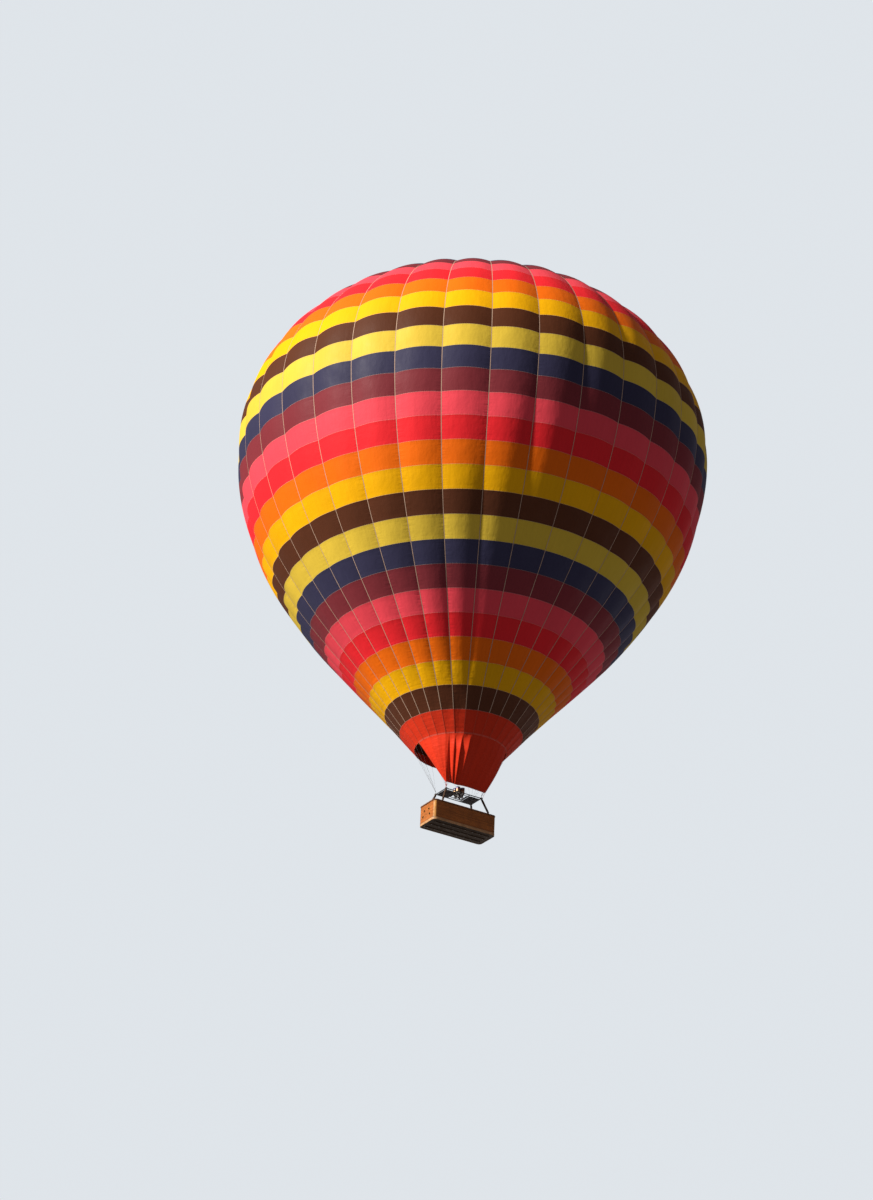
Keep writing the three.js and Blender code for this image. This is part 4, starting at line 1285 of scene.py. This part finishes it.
def burner_set():
    pile = Pile()
    pile.add(*block((0, 0, FRAME_HEIGHT), (PLATE_HALF, PLATE_HALF, PLATE_THICK), 0.004), 2)
    rim_at = PLATE_HALF - PLATE_RIM
    for x, y in ((1, 0), (0, 1), (-1, 0), (0, -1)):
        wide = (PLATE_RIM, PLATE_HALF, 0.015) if x else (PLATE_HALF, PLATE_RIM, 0.015)
        pile.add(*block((x * rim_at, y * rim_at, FRAME_HEIGHT), wide, 0.003), 2)
    for side in (-1, 1):
        add_pin(pile, side, 1, PLATE_HALF - 0.02, RING_HALF[1] - RING_TUBE_RADIUS - BOSS_LENGTH - PIN_GAP)
        pile.add(*block((0, side * (PLATE_HALF + 0.012), FRAME_HEIGHT), (0.03, 0.012, 0.015), 0.003), 2)
        for other in (-1, 1):
            one_burner(pile, side * BURNER_SPACING, other * BURNER_SPACING)
            for out_x, out_y in (PLATE_BOLTS, PLATE_BOLTS[::-1]):
                bolt(pile, np.array([side * out_x, other * out_y, FRAME_HEIGHT + PLATE_THICK]), 1)
    manifold = rounded_loop(BURNER_SPACING, BURNER_SPACING, 0.03, FRAME_HEIGHT - MANIFOLD_DROP)
    pile.add(*tube(manifold, MANIFOLD_PIPE, 12, closed=True), 1)
    return pile.piece("burner_group", [BURNER_STEEL, STEEL, DARK_TUBE], body="burner_set",
                      slot="burner_steel", replaces=["burners"])


gimbal_ring()
burner_set()

# %% [markdown]
# ## Padded uprights
# A nylon rod stands in a socket on the basket's rim and in another under each corner of the load
# frame. A padded leather sleeve is laced round it, and the fuel hoses run inside the sleeve. So the
# form is a soft tube, pinched where three straps go round it and gathered at both ends.

# %% Padded uprights
RIM_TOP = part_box("basket_rim")[1].z
STRUT_FOOT = (1.48, 0.767)
STRUT_RADIUS = 0.058
STRUT_STRAPS = (0.14, 0.5, 0.86)  # shares of the upright's length, as in the sockets
STRUT_STEPS = 61
STRUT_SOCKETS = (((0.0, 0.03), 0.038), ((0.97, 0.999), 0.034))  # where each runs, and its radius
STRAP_PINCH = 0.010  # how deep a strap pinches the sleeve
STRAP_SPREAD = 0.018
LACE_SLANT = 0.010
THIN_LACE = 0.0022  # radius


def leather(name, tint, rough=0.6, grain=260.0):
    """Hide with fine grain, softer and lighter where hands rub it."""
    look = Finish(name, Specular_IOR_Level=0.35)
    pores = look.node("TexVoronoi", {"Vector": look.place, "Scale": grain})[0]
    rubbed = look.patches(look.place, 3.5, 5, 0.72, 1.3, 0.6, 0.35)
    roughness = look.patches(look.place, 5.0, 4, rough - 0.12, rough + 0.15)
    wrinkles = look.noise(look.place, 22.0, 4, 0.6)
    return look.dress(look.tinted(tint, rubbed), roughness, (wrinkles, 0.004), (pores, 0.0004))


DARK_LEATHER = leather("dark_leather", colour(0.040, 0.022, 0.014))
TAN_LEATHER = leather("tan_leather", colour(0.42, 0.19, 0.040))



def upright(name, x, y):
    foot = np.array([x * STRUT_FOOT[0], y * STRUT_FOOT[1], RIM_TOP + 0.001])
    head = np.array([x * FRAME_HALF[0], y * FRAME_HALF[1], FRAME_HEIGHT - 0.031])

    def at(*shares):
        return foot + (head - foot) * np.array(shares)[:, None]

    share = np.linspace(0, 1, STRUT_STEPS)
    path = at(*share)
    radius = STRUT_RADIUS * (1 + 0.02 * np.sin(19 * share + x + 2 * y))
    for strap in STRUT_STRAPS:
        radius -= STRAP_PINCH * np.exp(-((share - strap) / STRAP_SPREAD) ** 2)
    radius *= 0.55 + 0.45 * smooth_step(np.minimum(share, 1 - share) * 16)
    sleeve = Pile()
    sleeve.add(*tube(path, radius, 24))
    padded = sleeve.piece("upright_sleeve_" + name, DARK_LEATHER, slot="leather",
                          replaces=["upright_" + name])
    fittings = Pile()
    for reach, socket in STRUT_SOCKETS:
        fittings.add(*tube(at(*reach), socket, 20), 1)
    along = (head - foot) / np.linalg.norm(head - foot)
    for strap in STRUT_STRAPS:
        ends = at(strap) + np.outer((-0.013, -0.012, 0.012, 0.013), along)
        fittings.add(*tube(ends, [0.0495, 0.0515, 0.0515, 0.0495], 24), 0)
    lacing = path[3:-3:2]
    outward = np.cross(along, (y, -x, 0.3))
    outward /= np.linalg.norm(outward)
    side = np.cross(along, outward)
    for number, (start, end) in enumerate(zip(lacing[:-1], lacing[1:])):
        slant = side * (LACE_SLANT if number % 2 else -LACE_SLANT)
        reach = outward * (radius[3 + 2 * number] + 0.001)
        fittings.add(*tube([start + reach + slant, end + reach - slant], THIN_LACE, 6), 2)
    fittings.piece("upright_fittings_" + name, [BLACK_CORD, STEEL, TAN_LEATHER], slot="leather")


for name, (x, y) in CORNERS.items():
    upright(name, x, y)

# %% [markdown]
# ## Wicker
# The basket is woven from cane: upright stakes every 5 cm, and pairs of thin weavers that pass in
# front of one stake and behind the next. A flat wall with a picture would show it from afar, but the
# weave is what a basket is, so it is laid in as geometry: a grid with two columns for each stake and
# two rows for each weaver, pushed out or in by turns. The cane's fibres and its uneven tone are in
# the finish, which reads a layer of lengths in metres. The finish also holds painted shade: darker
# bands in the grooves between the weavers, and darker spots midway between the stakes.

# %% Wicker
STAKE_SPACING = 0.05
WEAVER_PITCH = 0.0142
WEAVE_DEPTH = 0.006
WALL = 0.035
CANE_LENGTH = 3.7  # of one weaver, before the next begins


def wicker_finish(name, tint):
    look = Finish(name, Specular_IOR_Level=0.3)
    lengths = look.layer("cloth")
    around, up = look.split(lengths)[:2]
    weaver = look.calc("DIVIDE", up, WEAVER_PITCH)
    tone = look.between(look.roll(weaver, look.calc("DIVIDE", around, CANE_LENGTH)), 0, 1, 0.72, 1.18)
    # Painted shade: weavers darken towards their edges, in the grooves, and midway between stakes.
    off_middle = look.calc("SUBTRACT", look.calc("FRACT", weaver), 0.5)
    groove = look.between(look.calc("ABSOLUTE", off_middle), 0.28, 0.5, 1.0, 0.45)
    stake = look.calc("SUBTRACT", look.calc("FRACT", look.calc("DIVIDE", around, STAKE_SPACING)), 0.5)
    painted_stake_shade = look.between(look.calc("ABSOLUTE", stake), 0.0, 0.2, 0.7, 1.0)
    patches = look.patches(lengths, 2.2, 4, 0.78, 1.15, 0.6)
    fibres = look.noise(look.stretched(lengths, 40, 900), 1.0, 3, 0.6)
    light = look.between(fibres, 0.3, 0.7, 0.85, 1.1)
    value = look.times(look.times(tone, look.times(groove, painted_stake_shade)), look.times(patches, light))
    square = look.calc("POWER", look.times(off_middle, 1.98), 2.0)
    round_cane = look.calc("SQRT", look.calc("SUBTRACT", 1.0, square))
    roughness = look.between(fibres, 0.3, 0.7, 0.45, 0.75)
    return look.dress(look.tinted(tint, value), roughness, (round_cane, 0.003), (fibres, 0.0004))


WICKER = wicker_finish("wicker", colour(0.46, 0.140, 0.023))


def weave(rows, columns):
    """How far the weave stands out at each point: by turns over and under, with a groove between rows."""
    row, column = np.arange(rows)[:, None], np.arange(columns)[None, :]
    over = np.where(column % 2 == 0, np.where((column // 2 + row // 2) % 2 == 0, 1.0, -1.0), 0.0)
    crown = np.where(row % 2 == 1, 1.0, 0.0)
    return WEAVE_DEPTH * (over * (0.35 + 0.65 * crown) * 0.6 + crown * 0.5)


def lengths_uv(made, across, up, faces):
    """The finish's lengths for each corner: across and up for each point, counted on at a ring's joint."""
    corners = np.array([corner for face in faces for corner in face]).reshape(-1, 4)
    u, v = across[corners], up[corners]
    wrap = u.max(1, keepdims=True) - u > 5
    add_uv(made, "cloth", np.stack([u + wrap * across.max(), v], -1).reshape(-1, 2))


# %% [markdown]
# ## Basket walls
# The wall follows the basket's outline: long straight sides with close-set round corners. A point
# on it is found by its length along the outline, so that stakes and weavers keep an even spacing
# round the corners. Step holes for climbing in are left open in both ends, each with a bound edge.
# The inner face is a plainer grid with shallower cane, since it is seen only over the rim.

# %% Basket walls
BASKET_HALF = tuple(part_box("basket_walls")[1][axis] for axis in (0, 1))
BASKET_CORNER = 0.20
FLOOR_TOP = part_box("basket_floor")[1].z
WALL_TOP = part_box("basket_walls")[1].z
STEP_HOLES = ((0.260, 0.800), (-0.195, 0.800), (0.375, 0.480), (-0.290, 0.480))
STEP_HOLE_HALF = (0.065, 0.0525)
HOLE_EDGE = 0.004  # how far the lining stands out of the wall, and outside the hole
HOLE_CORNER = 0.022
HOLE_ROLL = 0.0075


def outline_length(offset=0.0):
    straight = BASKET_HALF[0] + BASKET_HALF[1] - 2 * BASKET_CORNER
    return 4 * straight + 2 * math.pi * (BASKET_CORNER + offset)


def outline_point(length, offset=0.0):
    """A point on the basket's outline and the direction out of it, from the middle of its right end."""
    long, short = BASKET_HALF[0] - BASKET_CORNER, BASKET_HALF[1] - BASKET_CORNER
    radius = BASKET_CORNER + offset
    arc = math.pi / 2 * radius
    ends = np.cumsum([short, arc, 2 * long, arc, 2 * short, arc, 2 * long, arc, short])
    length = np.mod(length, ends[-1])
    part = np.searchsorted(ends, length, side="right")
    into = length - np.concatenate([[0], ends])[part]
    turned_by = np.array([0, 0, 1, 1, 2, 2, 3, 3, 4])[part]
    bend = np.where(part % 2 == 1, into / radius, 0.0)
    angle = turned_by * math.pi / 2 + bend
    centres = np.array([(long, 0), (long, short), (long, short), (-long, short), (-long, short),
                        (-long, -short), (-long, -short), (long, -short), (long, -short)])[part]
    run = np.where(part % 2 == 0, into, 0.0)
    outward = np.stack([np.cos(angle), np.sin(angle)], -1)
    forward = np.stack([-np.sin(angle), np.cos(angle)], -1)
    return centres + outward * radius + forward * run[..., None], outward


def in_step_hole(points):
    """Whether points lie in one of the holes in the two ends."""
    inside = np.zeros(points.shape[:-1], bool)
    for y, height in STEP_HOLES:
        near = np.abs(points[..., 1] - y) < STEP_HOLE_HALF[0]
        near &= np.abs(points[..., 2] - BASKET_FOOT - height) < STEP_HOLE_HALF[1]
        inside |= near & (np.abs(points[..., 0]) > BASKET_HALF[0] - 0.1)
    return inside


def woven_ring(offset, pitch, sign, depth):
    around = outline_length(offset)
    stakes = 2 * round(around / STAKE_SPACING / 2)
    columns = 2 * stakes
    rows = 2 * round((WALL_TOP - FLOOR_TOP) / pitch) + 1
    length = np.arange(columns) * around / columns
    level, outward = outline_point(length, offset)
    height = np.linspace(FLOOR_TOP + 0.001, WALL_TOP, rows)
    push = sign * weave(rows, columns) * depth - sign * WEAVE_DEPTH * depth
    plan = level[None] + outward[None] * push[..., None]
    points = raised(plan, height[:, None])
    faces = grid_faces(rows, columns, ring=True)
    if sign < 0:
        faces = faces[:, ::-1]
    middles = points.reshape(-1, 3)[faces].mean(1)
    faces = faces[~in_step_hole(middles)]
    across = np.tile(length, rows)
    return points.reshape(-1, 3), faces, across, np.repeat(height - FLOOR_TOP, columns)


def basket_walls():
    points, faces, across, up = woven_ring(0.0, WEAVER_PITCH, 1, 1.0)
    outer = piece("basket_weave_outside", points, faces, WICKER, slot="wicker", replaces=["basket_walls"])
    lengths_uv(outer, across, up, faces)
    print("basket weave outside:", 2 * len(faces), "triangles,", round(outline_length(), 2), "m round")
    points, faces, across, up = woven_ring(-WALL, WEAVER_PITCH * 3, -1, 0.8)
    inner = piece("basket_weave_inside", points, faces, WICKER, slot="wicker")
    lengths_uv(inner, across, up, faces)


def step_hole_edges():
    """Bound edges round the step holes: a lining through the wall with a roll of cane on both faces."""
    pile = Pile()
    for side, (y, height) in product((-1, 1), STEP_HOLES):
        loop = rounded_loop(*(half + HOLE_EDGE for half in STEP_HOLE_HALF), HOLE_CORNER, 0.0)
        rings = []
        for depth in (HOLE_EDGE, 0.0, -WALL, -WALL - HOLE_EDGE):
            x = np.full(len(loop), side * (BASKET_HALF[0] + depth))
            rings.append(np.stack([x, y + loop[:, 0], BASKET_FOOT + height + loop[:, 1]], -1))
        pile.add(np.stack(rings), grid_faces(len(rings), len(loop), ring=True))
        for ring in (rings[0], rings[-1]):
            pile.add(*tube(ring, HOLE_ROLL, 8, closed=True))
    return pile.piece("step_hole_edges", TAN_LEATHER, slot="leather")


basket_walls()
step_hole_edges()

# %% [markdown]
# ## Hide, corner leathers and rim
# Rawhide is laced round the foot, where a basket drags on landing, and pale leather guards are laced
# up the four corners. The rim is a roll of foam in suede, sewn through every 30 cm, so it swells
# between the seams. A ring of round section would do, but the pinches make it read as padding.

# %% Hide, leathers and rim
HIDE_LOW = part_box("basket_hide")[0].z
HIDE_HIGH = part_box("basket_hide")[1].z
RIM_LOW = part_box("basket_rim")[0].z
HIDE_STEPS = 240
HIDE_OUT = 0.0078  # how far the hide stands out of the wall
HIDE_STITCH = 0.045
RIM_STITCH = 0.06
LACE_CORD = 0.0026  # radius
RIM_SEAMS = 0.30
RIM_STEPS = 12  # between two seams
RIM_SIDES = 16
RIM_HALF_WIDTH = 0.046
RIM_PINCH = 0.14
RIM_SQUARE = 0.75  # 1 for an oval section, less for a squarer one
CORNER_LEATHER = 0.16
LEATHER_ROWS = 30
LEATHER_COLUMNS = 9

HIDE = leather("rawhide", colour(0.42, 0.225, 0.098), rough=0.55, grain=120.0)
RIM_SUEDE = leather("rim_suede", colour(0.13, 0.050, 0.018), rough=0.8, grain=500.0)


def lacing(pile, lengths, low, high, offset, finish=0):
    """A cord that runs in slanting stitches round the basket, through both edges of a band."""
    for start, end in zip(lengths[:-1], lengths[1:]):
        spots, heights = np.array([start, start, end, end]), (low, low, high, high)
        level, outward = outline_point(spots)
        reach = (offset - 0.004, offset + 0.0015, offset + 0.0015, offset - 0.004)
        path = [(*(point + out * r), z) for point, out, r, z in zip(level, outward, reach, heights)]
        pile.add(*tube(path, LACE_CORD, 6), finish)


def foot_hide():
    pile = Pile()
    around = outline_length()
    lengths = np.arange(HIDE_STEPS) * around / HIDE_STEPS
    level, outward = outline_point(lengths)
    wave = 0.0012 * np.sin(lengths * 9.0) + 0.0012 * np.sin(lengths * 23.0)
    profile = ((0.0006, HIDE_HIGH), (0.0050, HIDE_HIGH), (HIDE_OUT, HIDE_HIGH - 0.008),
               (HIDE_OUT, HIDE_LOW + 0.010), (0.0040, HIDE_LOW), (0.0006, HIDE_LOW))
    rings = []
    for out, height in profile[::-1]:
        rings.append(raised(level + outward * (out + wave * (out > 0.004))[:, None], height))
    pile.add(np.stack(rings), grid_faces(len(profile), HIDE_STEPS, ring=True, tube=True))
    stitches = np.linspace(0, around, round(around / HIDE_STITCH) + 1)
    lacing(pile, stitches, HIDE_HIGH - 0.022, HIDE_HIGH + 0.014, HIDE_OUT, 1)
    return pile.piece("foot_hide", [HIDE, DARK_LEATHER], slot="hide", replaces=["basket_hide"])


def corner_leathers():
    pile = Pile()
    heights = np.linspace(HIDE_HIGH + 0.004, WALL_TOP - 0.012, LEATHER_ROWS)
    shares = np.linspace(-1, 1, LEATHER_COLUMNS)
    long, short = BASKET_HALF[0] - BASKET_CORNER, BASKET_HALF[1] - BASKET_CORNER
    arc = math.pi / 2 * BASKET_CORNER
    starts = np.cumsum([short, arc + 2 * long, arc + 2 * short, arc + 2 * long])
    for middle in starts + arc / 2:
        level, outward = outline_point(middle + shares * CORNER_LEATHER / 2)
        for out in (0.0035, 0.0012):
            bulge = out + 0.0006 * np.sin(heights * 31)[:, None]
            plan = level + outward * bulge[..., None]
            pile.add(raised(plan, heights[:, None]), grid_faces(LEATHER_ROWS, LEATHER_COLUMNS))
        for edge in (0, -1):
            spot, out = level[edge], outward[edge]
            centre = level[LEATHER_COLUMNS // 2]
            inner = spot * 0.86 + centre * 0.14 + out * 0.005
            outer = spot + (spot - centre) / np.linalg.norm(spot - centre) * 0.012 + out * 0.004
            for low, high in zip(heights[:-1], heights[1:]):
                pile.add(*tube([(*inner, low), (*outer, (low + high) / 2)], THIN_LACE, 5), 1)
    return pile.piece("corner_leathers", [TAN_LEATHER, DARK_LEATHER], slot="leather")


def rim_roll():
    around = outline_length(-WALL / 2)
    columns = round(around / RIM_SEAMS) * RIM_STEPS
    length = np.arange(columns) * around / columns
    level, outward = outline_point(length, -WALL / 2)
    phase = np.abs(np.sin(math.pi * np.arange(columns) / RIM_STEPS))
    size = (1 - RIM_PINCH * (1 - phase**0.35) - 0.02 * np.sin(length * 2.1))[:, None]
    middle, half_tall = (RIM_TOP + RIM_LOW) / 2, (RIM_TOP - RIM_LOW) / 2
    angles = circle(RIM_SIDES)
    across, upward = (np.sign(wave) * np.abs(wave) ** RIM_SQUARE for wave in (np.cos(angles), np.sin(angles)))
    plan = level[:, None] + outward[:, None] * (size * across * RIM_HALF_WIDTH)[..., None]
    grid = raised(plan, middle + size * upward * half_tall)
    faces = grid_faces(columns, RIM_SIDES, ring=True, tube=True)
    made = piece("rim_roll", grid, faces, RIM_SUEDE, slot="leather", replaces=["basket_rim"])
    pile = Pile()
    stitches = np.linspace(0, outline_length(), round(outline_length() / RIM_STITCH) + 1)
    lacing(pile, stitches, WALL_TOP - 0.030, WALL_TOP + 0.006, 0.004)
    pile.piece("rim_lacing", DARK_LEATHER, slot="leather")


foot_hide()
corner_leathers()
rim_roll()

# %% [markdown]
# ## Floor, runners and partitions
# The floor is plywood on three hardwood runners, which take the wear of the ground. Two woven
# partitions cross the basket on both sides of its middle bay, and one more runs lengthwise to each
# end, so there are four bays more. Their weave is coarser than the walls' and they have a cane edge.

# %% Floor, runners and partitions
PARTITION_HALF = 0.015
PARTITION_AT = 0.48  # from the middle of the basket
PARTITION_EDGE = 0.012  # from the middle of the cane edge to the partition's top
PARTITION_ROLL = 0.0135
FLOOR_STEPS = 160
FLOOR_BOLTS = (np.linspace(-1.6, 1.6, 9), (-0.45, 0.0, 0.45))  # along X and Y
RUNNER_SCREWS = 8
RUNNER_END = 0.12  # from a runner's end to its first screw
FLOOR_INSET = -0.002  # of the floor's edge from the walls' outer face


def wood(name, tint):
    look = Finish(name, Specular_IOR_Level=0.12)
    grain = look.noise(look.stretched(look.place, 1.2, 22, 22), 1.0, 6, 0.65)
    scuffs = look.noise(look.place, 4.0, 5, 0.6)
    value = look.times(look.between(grain, 0.3, 0.7, 0.7, 1.15), look.between(scuffs, 0.35, 0.7, 0.75, 1.1))
    return look.dress(look.tinted(tint, value), look.between(scuffs, 0.3, 0.7, 0.6, 0.85), (grain, 0.001))


PLYWOOD = wood("floor_plywood", colour(0.034, 0.020, 0.012))
HARDWOOD = wood("runner_hardwood", colour(0.040, 0.022, 0.012))


def basket_floor():
    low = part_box("basket_floor")[0].z
    shares = np.arange(FLOOR_STEPS) / FLOOR_STEPS
    profile = ((-0.008, low), (FLOOR_INSET, low + 0.004), (FLOOR_INSET, FLOOR_TOP - 0.003),
               (-0.006, FLOOR_TOP))
    rings = []
    for offset, height in profile:
        rings.append(raised(outline_point(shares * outline_length(offset), offset)[0], height))
    pile = Pile()
    faces = [tuple(face) for face in grid_faces(len(profile), FLOOR_STEPS, ring=True)]
    faces += [tuple(range(FLOOR_STEPS))[::-1], tuple(range(3 * FLOOR_STEPS, 4 * FLOOR_STEPS))]
    pile.add(np.stack(rings), faces)
    for x, y in product(*FLOOR_BOLTS):
        bolt(pile, np.array([x, y, FLOOR_TOP]), 1, 0.005)
    return pile.piece("floor_board", [PLYWOOD, STEEL], slot="plywood", replaces=["basket_floor"])


def runner(number):
    low, high = (np.array(corner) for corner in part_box("runner_" + str(number)))
    centre = (low + high) / 2
    pile = Pile()
    pile.add(*block(centre, (high - low) / 2, 0.012))
    for x in np.linspace(low[0] + RUNNER_END, high[0] - RUNNER_END, RUNNER_SCREWS):
        pile.add(*turned(disc(0.011, 0.002), (x, centre[1], low[2] - 0.0015), 12), 1)
    return pile.piece("runner_skid_" + str(number), [HARDWOOD, STEEL], slot="hardwood",
                      replaces=["runner_" + str(number)])


def woven_panel(pile, layers, start, end, low, high):
    """Both faces of a flat woven wall between two points in plan."""
    start, end = np.array(start), np.array(end)
    width = np.linalg.norm(end - start)
    forward = (end - start) / width
    outward = np.array([forward[1], -forward[0]])
    columns = 2 * round(width / STAKE_SPACING) + 1
    rows = 2 * round((high - low) / (WEAVER_PITCH * 2)) + 1
    push = PARTITION_HALF - WEAVE_DEPTH + weave(rows, columns)
    along, heights = np.linspace(0, width, columns), np.linspace(low, high, rows)
    for sign in (1, -1):
        plan = start + along[None, :, None] * forward + sign * outward * push[..., None]
        faces = grid_faces(rows, columns)[:, ::sign]
        pile.add(raised(plan, heights[:, None]), faces)
        corner = faces.reshape(-1)
        layers.append(np.stack([along[corner % columns], (heights[corner // columns] - low) / 2], -1))


def partition(name, side):
    low_corner, high_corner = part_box("partition_" + name)
    low, high = FLOOR_TOP + 0.001, high_corner.z - PARTITION_EDGE
    at, inside_y = side * PARTITION_AT, high_corner.y
    outer_x = high_corner.x if side > 0 else low_corner.x
    pile, layers = Pile(), []
    woven_panel(pile, layers, (at, -inside_y), (at, inside_y), low, high)
    woven_panel(pile, layers, (at + side * PARTITION_HALF, 0.0), (outer_x, 0.0), low, high)
    woven = len(pile.faces)
    for start, end in (((at, -inside_y), (at, inside_y)), ((at, 0), (outer_x, 0))):
        pile.add(*tube([(*start, high), (*end, high)], PARTITION_ROLL, 12), 1)
    corners = sum(len(face) for face in pile.faces[woven:])
    made = pile.piece("partition_weave_" + name, [WICKER, TAN_LEATHER], slot="wicker",
                      replaces=["partition_" + name])
    add_uv(made, "cloth", np.concatenate(layers + [np.zeros((corners, 2))]))


basket_floor()
for number in (1, 2, 3):
    runner(number)
for name, side in (("left", -1), ("right", 1)):
    partition(name, side)

# %% [markdown]
# ## Fuel tanks
# Four upright tanks stand in the middle bay. Each wears a padded jacket with a zip and two belts that
# hold it to the partition, and its collar guards the valve and the gauge on top.

# %% Fuel tanks
TANK_AT = (0.25, 0.50)
TANK_RADIUS = 0.18
TANK_HEIGHT = 0.90
TANK_NECK = 0.09  # height of the collar over the jacket's shoulder
QUILTS = ((0.02, 0.24), (0.27, 0.49), (0.52, 0.74))  # lower and upper edges of the jacket's pads
BELT_HEIGHTS = (0.255, 0.505)  # in the grooves between them

JACKET = leather("tank_jacket", colour(0.030, 0.033, 0.042), rough=0.8, grain=700.0)


def fuel_tank(name, x, y):
    base = np.array([x * TANK_AT[0], y * TANK_AT[1], FLOOR_TOP + 0.001])
    shoulder = TANK_HEIGHT - TANK_NECK
    radius = TANK_RADIUS
    jacket = Pile()
    profile = [(0.0, 0.0), (radius - 0.014, 0.0), (radius - 0.003, 0.010)]
    for low, high in QUILTS:
        profile += [(radius - 0.010, low), (radius - 0.001, low + 0.03), (radius, (low + high) / 2),
                    (radius - 0.001, high - 0.03), (radius - 0.010, high)]
    profile += [(radius * 0.86, shoulder - 0.030), (radius * 0.68, shoulder - 0.004), (0.085, shoulder),
                (0.0, shoulder)]
    jacket.add(*turned(profile, base, 40))
    padded = jacket.piece("jacket_" + name, JACKET, slot="tank_jacket", replaces=["fuel_tank_" + name])
    top = above(base, shoulder)
    fittings = Pile()
    collar = [(0.088, 0), (0.089, 0.082), (0.085, 0.09), (0.083, 0.084), (0.083, 0)]
    valve = [(0.0, 0), (0.022, 0), (0.022, 0.03), (0.013, 0.034), (0.013, 0.05), (0.026, 0.052),
             (0.026, 0.068), (0.0, 0.070)]
    gauge = [(0.0, 0.0), (0.024, 0.0), (0.026, 0.012), (0.022, 0.018), (0.0, 0.018)]
    fittings.add(*turned(collar, top, 32), 0)
    fittings.add(*turned(valve, top, 20), 0)
    fittings.add(*turned(gauge, top + np.array([0.045, 0, 0]), 20), 0)
    belt = [(radius - 0.012, -0.014), (radius - 0.004, -0.013), (radius - 0.004, 0.013),
            (radius - 0.012, 0.014)]
    for height in BELT_HEIGHTS:
        fittings.add(*turned(belt, above(base, height), 40), 1)
        buckle = base + np.array([0, -y * (radius - 0.004), height])
        fittings.add(*block(buckle, (0.020, 0.003, 0.016), 0.001), 0)
    zip_line = [base + np.array([-x * (radius - 0.002), 0, z]) for z in np.linspace(0.03, 0.73, 24)]
    fittings.add(*tube(zip_line, 0.0025, 6), 0)
    fittings.piece("tank_fittings_" + name, [STEEL, BLACK_CORD], slot="steel_tube")


for name, (x, y) in CORNERS.items():
    fuel_tank(name, x, y)

# %% [markdown]
# ## Floor
# The floor is a plain pale disc, wide enough to reach the horizon, at the feet of whoever holds the
# camera.

# %% Floor
FLOOR_RADIUS = 900.0
FLOOR_RINGS = (0.02, 0.1, 0.3, 1.0)  # shares of its radius
FLOOR_SIDES = 96
EYE_HEIGHT = 1.6
FLOOR_COLOUR = colour(0.8, 0.82, 0.84)


def floor():
    radius, angle = np.meshgrid(np.array(FLOOR_RINGS) * FLOOR_RADIUS, circle(FLOOR_SIDES), indexing="ij")
    plan = np.stack([radius * np.cos(angle), radius * np.sin(angle)], -1)
    points = raised(plan, camera.location.z - EYE_HEIGHT)
    mesh = bpy.data.meshes.new("floor")
    faces = [tuple(face[::-1]) for face in grid_faces(len(FLOOR_RINGS), FLOOR_SIDES, ring=True).tolist()]
    mesh.from_pydata(points.reshape(-1, 3).tolist(), [], faces + [tuple(range(FLOOR_SIDES))])
    look = Finish("floor", Specular_IOR_Level=0.1)
    grain = look.patches(look.place, 0.08, 3, 0.98, 1.02)
    mesh.materials.append(look.dress(look.tinted(FLOOR_COLOUR, grain), 0.9))
    made = bpy.data.objects.new("floor", mesh)
    bpy.context.scene.collection.objects.link(made)
    made.visible_diffuse = False


floor()
